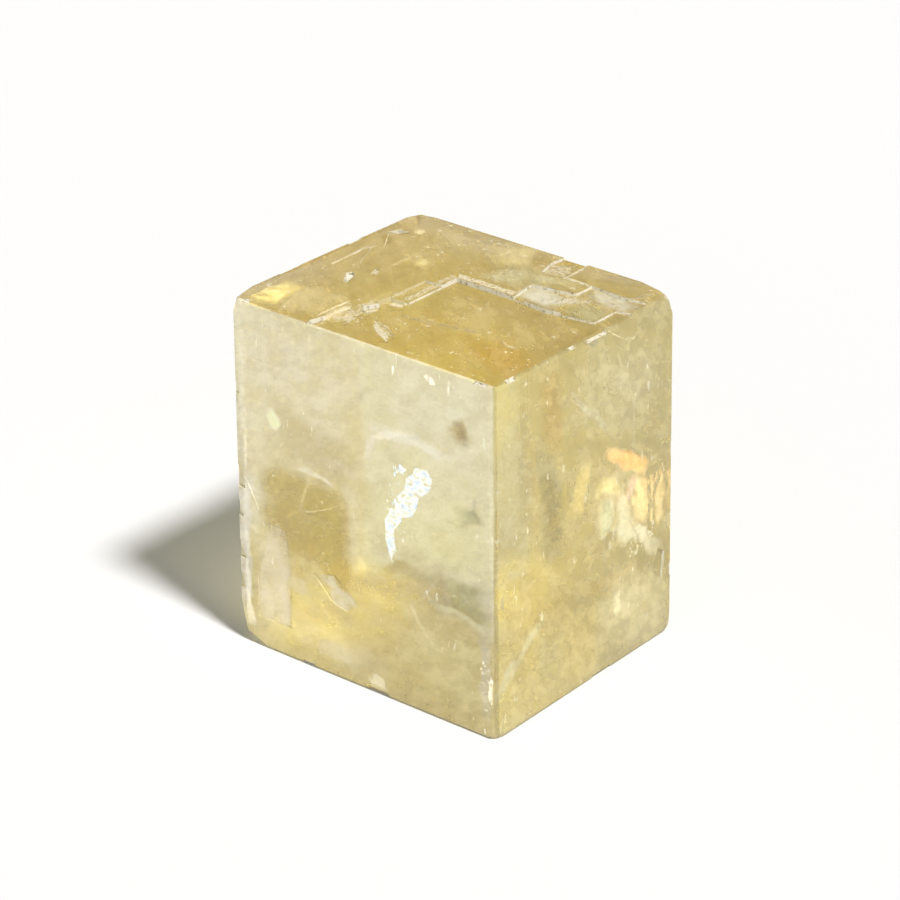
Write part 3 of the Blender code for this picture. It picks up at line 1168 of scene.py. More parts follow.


# Their glow is painted light. The blue-white, bright and orange films glow as painted glints and
# reflections; the white, cream and gold ones glow to look lit inside the crystal, where little
# light reaches them.
VEIL_FINISHES: tuple[VeilFinish, ...] = (
    VeilFinish(Tone.FROST, (0.66, 0.63, 0.53), (0.58, 0.54, 0.40), cover=0.80, ragged=0.40,
               grain=2.8),
    VeilFinish(Tone.MIST, (0.60, 0.58, 0.48), (0.50, 0.46, 0.32), cover=0.60, ragged=0.50,
               soft=0.14, grain=2.4),
    VeilFinish(Tone.WHITE, (0.95, 0.92, 0.80), (0.92, 0.88, 0.70), cover=0.58, ragged=0.25,
               soft=0.16, grain=1.8, glow=0.45),
    VeilFinish(Tone.BRIGHT, (0.98, 0.97, 0.90), (0.96, 0.93, 0.78), cover=0.85, ragged=0.35,
               grain=2.2, glow=0.75),
    VeilFinish(Tone.CREAM, (0.93, 0.85, 0.62), (0.95, 0.90, 0.73), cover=0.50, ragged=0.15,
               soft=0.20, grain=1.0, glow=0.30, stretch=(1.0, 1.0, 0.5)),
    VeilFinish(Tone.GOLD, (0.90, 0.76, 0.28), (0.94, 0.86, 0.48), cover=0.50, ragged=0.40,
               soft=0.16, grain=1.0, glow=0.12),
    VeilFinish(Tone.ICE, (0.84, 0.93, 1.0), (0.30, 0.52, 1.0), cover=0.92, ragged=0.36,
               soft=0.12, grain=1.3, stretch=(1.0, 1.0, 1.8), glow=0.95),
    VeilFinish(Tone.FLAME, (1.0, 0.66, 0.26), (1.0, 0.86, 0.44), cover=0.52, ragged=0.45,
               soft=0.20, grain=1.3, stretch=(1.0, 1.4, 0.5), glow=0.8),
    VeilFinish(Tone.OLIVE, (0.50, 0.46, 0.24), (0.60, 0.57, 0.38), cover=0.40, ragged=0.35,
               soft=0.20, grain=0.7),
    VeilFinish(Tone.SMOKE, (0.40, 0.32, 0.10), (0.46, 0.42, 0.16), cover=0.52, ragged=0.40,
               grain=2.2),
)


@dataclass(frozen=True)
class PaleFloor:
    """The plain pale surface that the crystal stands on.

    Attributes:
        colour: Its colour.
        roughness: Its roughness.
    """

    colour: Colour = (0.745, 0.745, 0.735)
    roughness: float = 0.8

    def material(self) -> bpy.types.Material:
        """Paint the floor's material.

        Returns:
            The material.
        """
        paint = Paint.named("pale_floor")
        return paint.finish(paint.shader({
            "Base Color": self.colour, "Roughness": self.roughness,
            "Specular IOR Level": 0.1}))


# ---------------------------------------------------------------- what broke off the crystal


OUT = 2.0   # how far blocks that are taken away reach past the crystal, in millimetres


@dataclass(frozen=True)
class Ledge:
    """A thin layer that split off one face.

    Attributes:
        face: The face that it split off.
        outline: Its outline along the two edges of that face, in millimetres.
        depth: Its depth along the third edge, in millimetres.
    """

    face: Face
    outline: tuple[Point2, ...]
    depth: float

    @property
    def frosted(self) -> bool:
        """Whether its walls look frosted: those of the steps on the top."""
        return self.face is Face.TOP and 0.20 < self.depth < 0.50

    def cutter(self) -> bpy.types.Object:
        """Model a prism over the layer that was lost.

        Returns:
            The block to take away.
        """
        places = [AXES.point(*self.face.place(point, self.depth)) for point in self.outline]
        item = HandTools.draw_outline(places)
        HandTools.pull(self.face.inward(-self.depth - OUT))
        return HandTools.close_up(item, "cutter")


@dataclass(frozen=True)
class Notch:
    """A small rhombic block that broke out of an edge.

    Attributes:
        low: Its low corner along a, b and h, in millimetres.
        high: Its high corner along a, b and h, in millimetres.
        frosted: Whether its walls look frosted.
    """

    low: Point3
    high: Point3
    frosted: bool = True

    def cutter(self) -> bpy.types.Object:
        """Model a rhombic block, drawn out along the three directions.

        Returns:
            The block to take away.
        """
        item = HandTools.start_point(AXES.point(*self.low))
        for axis in range(3):
            HandTools.pull(AXES.along(axis, self.high[axis] - self.low[axis]))
        return HandTools.close_up(item, "cutter")


@dataclass(frozen=True)
class Scallop:
    """A shell-shaped chip: a shallow faceted bowl.

    Attributes:
        at: Its middle along a, b and h, in millimetres.
        outward: The mix of edge directions that points away from the crystal there.
        width: Its width in millimetres.
        depth: Its depth in millimetres.
        frosted: Whether it looks frosted.
    """

    at: Point3
    outward: Point3
    width: float
    depth: float
    frosted: bool = False

    def cutter(self) -> bpy.types.Object:
        """Model a ball that leaves the bowl.

        Returns:
            The block to take away.
        """
        half_width = self.width / 2
        radius = (half_width ** 2 + self.depth ** 2) / (2 * self.depth) * MM
        outward = AXES.step(*self.outward).normalized()
        middle = AXES.point(*self.at) + outward * (radius - self.depth * MM)
        HandTools.deselect()
        bpy.ops.mesh.primitive_ico_sphere_add(subdivisions=2, radius=radius, location=middle,
                                              rotation=outward.to_track_quat("Z", "Y").to_euler())
        bpy.ops.object.mode_set(mode="EDIT")
        return HandTools.close_up(bpy.context.object, "cutter")


@dataclass(frozen=True)
class Corner:
    """A broken corner: one flat break and three longer, shallower facets around it.

    Attributes:
        at: 0 or 1 along each edge: which corner.
        cut: How much of each of its edges the flat break takes, in millimetres.
        long: How many times that a facet takes off its own edge.
        short: How many times that a facet takes off the two other edges.
    """

    at: tuple[int, int, int]
    cut: Point3
    long: float = 2.1
    short: float = 0.62

    def cuts(self) -> list[Point3]:
        """What the break and its facets take off.

        Returns:
            For each of them, millimetres off each of the three edges.
        """
        found = [self.cut]
        for axis in range(3):
            shares = [self.long if index == axis else self.short for index in range(3)]
            found.append(tuple(part * share for part, share in zip(self.cut, shares)))
        return found

    def planes(self) -> list[tuple[Vector, Vector]]:
        """Where the facets lie.

        Returns:
            A point on each facet and the facet's outward normal.
        """
        origin = AXES.point(*(length * end for length, end in zip(EDGE_LENGTHS, self.at)))
        found = []
        for cut in self.cuts():
            points = [origin + AXES.along(axis, -cut[axis] if self.at[axis] else cut[axis])
                      for axis in range(3)]
            normal = (points[1] - points[0]).cross(points[2] - points[0]).normalized()
            if normal.dot(origin - points[0]) < 0:
                normal.negate()
            found.append((points[0], normal))
        return found


LEDGES: tuple[Ledge, ...] = (
    Ledge(Face.TOP, ((-OUT, -OUT), (20.8, -OUT), (19.3, 4.4), (17.9, 7.2), (16.5, 9.0),
                     (16.5, 15.6), (10.4, 15.6), (6.4, 15.1), (1.6, 16.0), (1.6, 19.2),
                     (-OUT, 20.4)), 0.44),
    Ledge(Face.TOP, ((16.0, 8.4), (18.2, 8.4), (18.2, 13.4), (16.0, 13.4)), 0.22),
    Ledge(Face.TOP, ((1.0, 15.4), (10.0, 15.4), (10.5, 18.6), (6.2, 19.6), (6.2, 21.9),
                     (2.4, 21.5), (-OUT, 22.6), (-OUT, 19.6), (1.0, 18.9)), 0.26),
    Ledge(Face.TOP, ((9.2, 22.2), (11.6, 21.6), (12.2, 24.0), (11.6, 28.0), (9.4, 28.0)),
          0.30),
    Ledge(Face.TOP, ((17.3, 3.2), (18.6, 1.3), (20.0, 2.0), (20.4, 3.9), (19.1, 5.6),
                     (17.8, 5.3)), 0.62),
    Ledge(Face.TOP, ((16.2, 7.9), (17.5, 6.6), (18.6, 7.1), (18.3, 8.7), (16.9, 8.9)), 0.58),
    Ledge(Face.TOP, ((12.8, 1.7), (13.6, 1.2), (14.7, 2.5), (16.5, 3.9), (16.0, 4.3),
                     (14.3, 3.7), (13.2, 3.0)), 0.64),
    Ledge(Face.TOP, ((23.2, 8.7), (23.7, 8.6), (24.7, 10.2), (24.4, 10.7), (23.8, 10.4)),
          0.24),
    Ledge(Face.TOP, ((22.2, 11.4), (22.8, 11.5), (23.2, 12.6), (22.8, 12.7)), 0.20),
    Ledge(Face.TOP, ((25.2, 10.9), (27.0, 10.9), (27.3, 15.6), (26.6, 17.0), (25.8, 13.0)),
          0.14),
    Ledge(Face.TOP, ((26.4, 21.2), (27.0, 20.2), (28.0, 20.0), (27.6, 21.0)), 0.32),
    Ledge(Face.FRONT_LEFT, ((23.1, 3.0), (26.9, 3.0), (26.9, 7.0), (25.4, 12.8),
                            (23.4, 12.6), (23.0, 8.6)), 0.14),
    Ledge(Face.FRONT_LEFT, ((20.3, 9.5), (17.9, 10.1), (15.4, 8.1), (16.5, 6.9),
                            (18.3, 7.4)), 0.12),
    Ledge(Face.FRONT_LEFT, ((25.6, 13.9), (26.6, 13.8), (27.4, 15.3), (28.4, 17.2),
                            (26.2, 16.8)), 0.12),
    Ledge(Face.FRONT_RIGHT, ((22.6, 7.2), (24.2, 5.8), (24.6, 8.4), (23.6, 9.2)), 0.24),
    Ledge(Face.BACK_LEFT, ((9.4, -OUT), (27.5, -OUT), (27.5, 12.2), (14.6, 12.2),
                           (12.2, 9.4), (9.4, 9.4)), 0.22),
    Ledge(Face.BACK_LEFT, ((16.8, 11.0), (27.5, 11.0), (27.5, 24.6), (21.4, 24.6),
                           (21.4, 19.0), (16.8, 19.0)), 0.14),
    Ledge(Face.BACK_LEFT, ((5.8, 21.0), (9.6, 20.2), (11.4, 26.0), (8.8, 28.4),
                           (6.0, 26.2)), 0.12),
    Ledge(Face.BACK_RIGHT, ((13.6, -OUT), (31.5, -OUT), (31.5, 10.6), (20.2, 10.6),
                            (18.4, 7.8), (13.6, 7.8)), 0.16),
    Ledge(Face.BACK_RIGHT, ((7.6, 14.8), (13.9, 14.8), (15.2, 21.6), (10.8, 25.0),
                            (7.6, 21.0)), 0.10),
    Ledge(Face.BACK_RIGHT, ((19.4, 24.8), (25.0, 24.8), (26.2, 29.6), (21.6, 31.2)), 0.10),
)

NOTCHES: tuple[Notch, ...] = (
    Notch((28.80, -OUT, 21.6), (31.0, 0.20, 29.8), False),
    Notch((28.50, -OUT, 24.6), (31.0, 0.28, 25.6), False),
    Notch((28.10, -OUT, 15.4), (31.0, 0.32, 17.5), False),
    Notch((28.40, -OUT, 12.5), (31.0, 0.36, 14.0), False),
    Notch((28.20, -OUT, 8.3), (31.0, 0.32, 10.0), False),
    Notch((28.45, -OUT, 5.3), (31.0, 0.38, 6.8), False),
    Notch((-OUT, 25.45, 17.8), (0.24, 27.5, 19.3)),
    Notch((-OUT, 25.42, 5.6), (0.26, 27.5, 6.9)),
    Notch((-OUT, 12.9, 33.30), (0.52, 15.7, 36.1)),
    Notch((-OUT, 10.4, 33.45), (0.36, 11.3, 36.1)),
    Notch((-OUT, 1.8, 33.35), (0.42, 3.1, 36.1)),
    Notch((0.9, -OUT, 33.45), (2.3, 0.30, 36.1)),
    Notch((27.0, -OUT, 33.80), (28.0, 0.28, 36.1)),
    Notch((28.85, 6.2, 33.85), (31.0, 9.0, 36.1)),
    Notch((28.80, 15.4, 33.80), (31.0, 17.2, 36.1)),
    Notch((11.9, -OUT, -OUT), (14.3, 0.42, 0.46)),
    Notch((20.4, -OUT, -OUT), (21.8, 0.34, 0.36)),
    Notch((-OUT, 13.8, -OUT), (0.44, 16.6, 0.40)),
    Notch((28.1, 24.6, 17.8), (31.0, 27.5, 22.6)),
    Notch((28.5, 25.0, 26.8), (31.0, 27.5, 29.4)),
)

CORNERS: tuple[Corner, ...] = (
    Corner((1, 0, 0), (1.8, 2.2, 2.3)),
    Corner((1, 0, 1), (1.2, 1.6, 1.0)),
    Corner((0, 1, 1), (2.0, 1.6, 1.2)),
    Corner((1, 1, 1), (1.5, 1.0, 0.7)),
    Corner((0, 0, 0), (0.9, 0.8, 1.2)),
    Corner((0, 1, 0), (0.6, 0.6, 1.3)),
    Corner((0, 1, 0), (0.26, 0.26, 4.4)),
    Corner((0, 0, 1), (0.6, 0.9, 0.7)),
    Corner((1, 1, 0), (2.4, 2.0, 2.8)),
)

SCALLOPS: tuple[Scallop, ...] = (
    Scallop((29.1, 0.0, 3.4), (1.0, -1.0, -0.2), 2.4, 0.36),
    Scallop((29.1, 4.6, 0.0), (1.0, 0.0, -0.9), 4.2, 0.60),
    Scallop((2.6, 25.65, 0.0), (0.0, 1.0, -0.9), 3.6, 0.50),
)


@dataclass(frozen=True)
class EdgeWear:
    """How wide the worn strip along an edge is, in millimetres.

    Attributes:
        sharp: The width on the crispest edges.
        plain: The width on most edges.
        soft: The width on well worn edges.
        heavy: The width on the most worn edge.
    """

    sharp: float = 0.20
    plain: float = 0.36
    soft: float = 0.62
    heavy: float = 0.85

    def width(self, axis: int, ends: tuple[int, int]) -> float:
        """The wear of the edge along one direction.

        Args:
            axis: Index of the direction that the edge runs along.
            ends: 0 or 1 along each of the two other directions.

        Returns:
            The worn width in millimetres.
        """
        soft = {(2, (1, 1)), (0, (1, 0)), (1, (1, 0))}
        sharp = {(2, (0, 1)), (0, (0, 1)), (0, (1, 1)), (1, (1, 1))}
        if (axis, ends) in sharp:
            return self.sharp
        if (axis, ends) == (1, (0, 1)):
            return self.heavy
        return self.soft if (axis, ends) in soft else self.plain


# ---------------------------------------------------------------- the crystal


@dataclass
class CrystalBody:
    """The whole clear crystal, with worn edges, ledges, notches and broken corners.

    Attributes:
        name: The piece's name.
        wear: Widths of the worn strips.
        ledges: The layers that split off its faces.
        notches: The blocks that broke out of its edges.
        corners: Its broken corners.
        scallops: Its shell-shaped chips.
        clear: Finish of its faces.
        frost: Finish of its breaks.
    """

    name: str = "crystal_body"
    wear: EdgeWear = field(default_factory=EdgeWear)
    ledges: tuple[Ledge, ...] = LEDGES
    notches: tuple[Notch, ...] = NOTCHES
    corners: tuple[Corner, ...] = CORNERS
    scallops: tuple[Scallop, ...] = SCALLOPS
    clear: HoneyCalcite = field(default_factory=HoneyCalcite)
    frost: FrostedBreak = field(default_factory=FrostedBreak)

    def build(self) -> bpy.types.Object:
        """Model the crystal and dress it.

        Returns:
            The finished piece.
        """
        body = self.block()
        self.wear_edges(body)
        self.break_corners(body)
        clear = self.clear.material()
        frost = self.frost.material()
        body.data.materials.append(clear)
        body.data.materials.append(frost)
        for part in (*self.ledges, *self.notches, *self.scallops):
            self.cut(body, part.cutter(), part.frosted)
        self.tidy(body)
        return body

    def block(self) -> bpy.types.Object:
        """Draw the unworn rhomb out along its three edges.

        Returns:
            The rhomb.
        """
        item = HandTools.start_point(AXES.origin)
        for axis, length in enumerate(EDGE_LENGTHS):
            HandTools.pull(AXES.along(axis, length))
        return HandTools.close_up(item, self.name)

    def wear_edges(self, body: bpy.types.Object) -> None:
        """Round each edge by its own width.

        Args:
            body: The crystal.
        """
        layer = body.data.attributes.new("bevel_weight_edge", "FLOAT", "EDGE")
        readers = AXES.readers()
        for edge in body.data.edges:
            ends = [body.data.vertices[index].co - AXES.origin for index in edge.vertices]
            spots = [[reader.dot(end) for reader in readers] for end in ends]
            axis = max(range(3), key=lambda index: abs(spots[0][index] - spots[1][index]))
            others = [index for index in range(3) if index != axis]
            sides = tuple(int(round(spots[0][index] / EDGE_LENGTHS[index]))
                          for index in others)
            layer.data[edge.index].value = self.wear.width(axis, sides) / self.wear.heavy
        HandTools.apply(body, "BEVEL", limit_method="WEIGHT", segments=3,
                        width=self.wear.heavy * MM)

    def break_corners(self, body: bpy.types.Object) -> None:
        """Slice the broken corners off, facet by facet.

        Args:
            body: The crystal.
        """
        HandTools.only(body)
        bpy.ops.object.mode_set(mode="EDIT")
        for corner in self.corners:
            for place, normal in corner.planes():
                bpy.ops.mesh.select_all(action="SELECT")
                bpy.ops.mesh.bisect(plane_co=place, plane_no=normal, use_fill=True,
                                    clear_outer=True, threshold=0.001 * MM)
        bpy.ops.object.mode_set(mode="OBJECT")

    def cut(self, body: bpy.types.Object, cutter: bpy.types.Object, frosted: bool) -> None:
        """Take a cutter's volume away.

        Args:
            body: The crystal.
            cutter: The block to take away, which is deleted.
            frosted: Whether the narrow walls that it leaves are frosted.
        """
        for material in body.data.materials:
            cutter.data.materials.append(material)
        biggest = max(cutter.data.polygons, key=lambda face: face.area)
        for face in cutter.data.polygons:
            narrow = face.area < biggest.area * 0.98
            face.material_index = 1 if frosted and narrow else 0
        HandTools.apply(body, "BOOLEAN", operation="DIFFERENCE", object=cutter,
                        solver="EXACT", material_mode="TRANSFER")
        bpy.data.objects.remove(cutter, do_unlink=True)

    def tidy(self, body: bpy.types.Object) -> None:
        """Merge stray points and shade only the worn strips smooth.

        Args:
            body: The crystal.
        """
        HandTools.only(body)
        bpy.ops.object.mode_set(mode="EDIT")
        bpy.ops.mesh.select_all(action="SELECT")
        bpy.ops.mesh.remove_doubles(threshold=0.004 * MM)
        bpy.ops.mesh.dissolve_degenerate(threshold=0.002 * MM)
        bpy.ops.mesh.normals_make_consistent(inside=False)
        bpy.ops.object.mode_set(mode="OBJECT")
        bpy.ops.object.shade_smooth_by_angle(angle=math.radians(28))
        HandTools.deselect()


# ---------------------------------------------------------------- inside the crystal


@dataclass(frozen=True)
class Veil:
    """A flat healed crack inside the crystal, parallel to one of its faces.

    Attributes:
        face: The face that it is parallel to and seen through.
        depth: Its depth under that face, in millimetres.
        outline: Its outline as seen on that face, in millimetres along its two edges.
        tone: Its finish.
        bend: How uneven it is, in millimetres.
        cuts: How finely it is divided.
        faded: Whether it fades out along its outline.
    """

    face: Face
    depth: float
    outline: tuple[Point2, ...]
    tone: Tone
    bend: float = 0.04
    cuts: int = 3
    faded: bool = False

    def model(self, seed: int) -> bpy.types.Object:
        """Model the veil's uneven sheet, without thickness.

        Args:
            seed: Seed of its unevenness.

        Returns:
            The sheet.
        """
        places = [AXES.point(*self.face.behind(point, self.depth)) for point in self.outline]
        item = HandTools.draw_outline(places)
        HandTools.crumple(self.cuts, self.bend, seed)
        HandTools.close_up(item, "veil")
        HandTools.mark_inside(item, self.faded)
        return item


@dataclass(frozen=True)
class Crack:
    """A narrow crack that goes down into the crystal from a line under one of its faces.

    Attributes:
        face: The face that it starts under.
        path: The line, in millimetres along the face's two edges.
        start: The depth where it starts, in millimetres.
        reach: How much further down it goes, in millimetres.
        tone: Its finish.
        bend: How uneven it is, in millimetres.
        cuts: How finely it is divided.
        fade: Over what length it fades out at its two ends, in millimetres.
    """

    face: Face
    path: tuple[Point2, ...]
    start: float
    reach: float
    tone: Tone
    bend: float = 0.05
    cuts: int = 3
    fade: float = 0.8

    def model(self, seed: int) -> bpy.types.Object:
        """Model the crack's uneven sheet, without thickness.

        Args:
            seed: Seed of its unevenness.

        Returns:
            The sheet.
        """
        places = [AXES.point(*self.face.behind(point, self.start)) for point in self.path]
        item = HandTools.draw_path(places)
        HandTools.pull(self.face.inward(self.reach))
        HandTools.crumple(self.cuts, self.bend, seed)
        HandTools.close_up(item, "crack")
        HandTools.mark_inside(item, False)
        marks = item.data.attributes["inside"].data
        for vert in item.data.vertices:
            nearest = min((vert.co - place).length for place in (places[0], places[-1]))
            marks[vert.index].value = min(1.0, nearest / (self.fade * MM))
        return item


@dataclass(frozen=True)
class Specks:
    """Small bright cleavage plates scattered under a face.

    Attributes:
        face: The face that they lie under.
        centre: The middle of the group, in millimetres along the face's two edges.
        spread: How far it spreads along each of them, in millimetres.
        count: How many plates there are.
        size: The size of the largest, in millimetres.
        deep: How deep the deepest lies, in millimetres.
        tone: Their finish.
        stretch: How long they are along the face's two edges for their thickness.
    """

    face: Face
    centre: Point2
    spread: Point2
    count: int
    size: float
    deep: float
    tone: Tone
    stretch: Point2 = (1.0, 1.0)

    def model(self, seed: int) -> bpy.types.Object:
        """Model all the plates as one object.

        Args:
            seed: Seed of their places and sizes.

        Returns:
            The plates.
        """
        dice = random.Random(seed)
        plates = [self.plate(dice) for _ in range(self.count)]
        return HandTools.join(plates, "specks")

    def plate(self, dice: random.Random) -> bpy.types.Object:
        """Model one thin rhombic plate, placed at random.

        Args:
            dice: The source of random numbers.

        Returns:
            The plate.
        """
        point = [dice.gauss(middle, wide / 2) for middle, wide in zip(self.centre, self.spread)]
        for index, axis in enumerate(self.face.across):
            point[index] = min(max(point[index], PLATE_MARGIN),
                               EDGE_LENGTHS[axis] - PLATE_MARGIN)
        depth = dice.uniform(SHALLOWEST, max(SHALLOWEST + 0.05, self.deep))
        low = list(self.face.behind((point[0], point[1]), depth))
        size = self.size * dice.uniform(0.3, 1.0)
        sides = []
        for index, axis in enumerate(self.face.across):
            length = size * self.stretch[index] * dice.uniform(0.5, 1.0)
            low[axis] = min(low[axis], EDGE_LENGTHS[axis] - INNER_MARGIN - length)
            sides.append(AXES.along(axis, length))
        item = HandTools.start_point(AXES.point(*low))
        for side in sides:
            HandTools.pull(side)
        HandTools.pull(self.face.inward(0.03 + 0.05 * size))
        HandTools.close_up(item, "plate")
        HandTools.mark_inside(item, False)
        return item


TOP_VEILS: tuple[Veil, ...] = (
    # splintered rim behind the main ledge
    Veil(Face.TOP, 0.10, ((10.3, 15.7), (16.4, 15.7), (16.9, 16.5), (10.5, 16.5)), Tone.FROST),
    Veil(Face.TOP, 0.28, ((16.6, 9.2), (17.2, 9.0), (17.3, 16.0), (16.6, 15.8)), Tone.MIST),
    Veil(Face.TOP, 0.34, ((16.7, 8.9), (18.1, 8.9), (18.1, 13.3), (16.7, 13.3)), Tone.SMOKE),
    Veil(Face.TOP, 0.64, ((16.4, 7.8), (17.7, 7.6), (17.7, 8.4), (16.5, 8.5)), Tone.FROST),
    Veil(Face.TOP, 0.66, ((17.2, 5.4), (18.2, 6.9), (18.8, 6.5), (19.0, 5.0), (20.2, 3.9),
                          (20.0, 2.4), (18.8, 2.0), (17.8, 3.2), (18.4, 4.6)), Tone.MIST),
    Veil(Face.TOP, 0.70, ((18.2, 3.6), (19.2, 3.8), (19.0, 3.0), (18.0, 2.2), (17.8, 2.6)),
         Tone.FROST),
    # broken zone at the left
    Veil(Face.TOP, 0.50, ((0.6, 19.1), (3.9, 19.6), (4.6, 20.3), (5.8, 21.6), (2.5, 21.5),
                          (0.9, 20.4)), Tone.MIST),
    Veil(Face.TOP, 0.34, ((6.1, 19.5), (5.2, 18.2), (6.6, 16.7), (7.0, 16.0), (10.4, 16.2),
                          (10.5, 18.6), (8.4, 19.0)), Tone.MIST),
    Veil(Face.TOP, 0.36, ((5.8, 21.5), (9.3, 21.6), (9.3, 24.4), (8.9, 24.4), (8.9, 22.0),
                          (5.8, 21.9)), Tone.FROST, cuts=2),
    Veil(Face.TOP, 0.40, ((7.0, 16.2), (10.2, 16.3), (10.3, 17.4), (8.2, 17.8), (7.2, 17.2)),
         Tone.MIST),
    Veil(Face.TOP, 0.40, ((4.2, 19.3), (5.6, 19.2), (7.2, 16.9), (6.3, 16.6)), Tone.MIST),
    Veil(Face.TOP, 0.42, ((1.7, 16.1), (6.4, 15.6), (6.2, 17.0), (4.2, 19.2), (1.7, 18.9)),
         Tone.SMOKE),
    Veil(Face.TOP, 0.36, ((9.6, 22.3), (11.6, 21.4), (12.2, 23.4), (11.4, 24.4), (10.3, 24.3),
                          (9.7, 23.6)), Tone.MIST),
    Veil(Face.TOP, 0.60, ((6.4, 19.8), (9.6, 19.2), (12.8, 17.0), (15.8, 16.8), (14.6, 20.4),
                          (11.0, 21.4), (9.0, 22.0), (6.4, 21.7)), Tone.OLIVE, faded=True),
    # chips
    Veil(Face.TOP, 0.68, ((12.8, 1.5), (13.4, 2.5), (14.8, 3.3), (16.2, 4.1), (15.6, 3.2),
                          (14.4, 2.4)), Tone.FROST),
    Veil(Face.TOP, 0.70, ((12.9, 1.6), (13.3, 2.9), (14.6, 3.9), (16.4, 4.3), (15.6, 3.0),
                          (14.4, 2.2)), Tone.MIST),
    Veil(Face.TOP, 0.28, ((22.2, 11.4), (22.7, 12.7), (23.3, 12.6), (22.8, 11.3)), Tone.FROST),
    Veil(Face.TOP, 0.30, ((23.1, 8.5), (24.2, 10.7), (24.7, 10.3), (23.7, 8.6)), Tone.FROST),
    Veil(Face.TOP, 0.38, ((26.5, 21.0), (27.5, 21.2), (28.0, 20.2), (27.2, 20.0)), Tone.FROST),
    # golden depth
    Veil(Face.TOP, 1.2, ((24.9, 0.9), (27.6, 0.9), (27.6, 3.4), (26.6, 5.0), (25.4, 2.8)),
         Tone.GOLD),
)

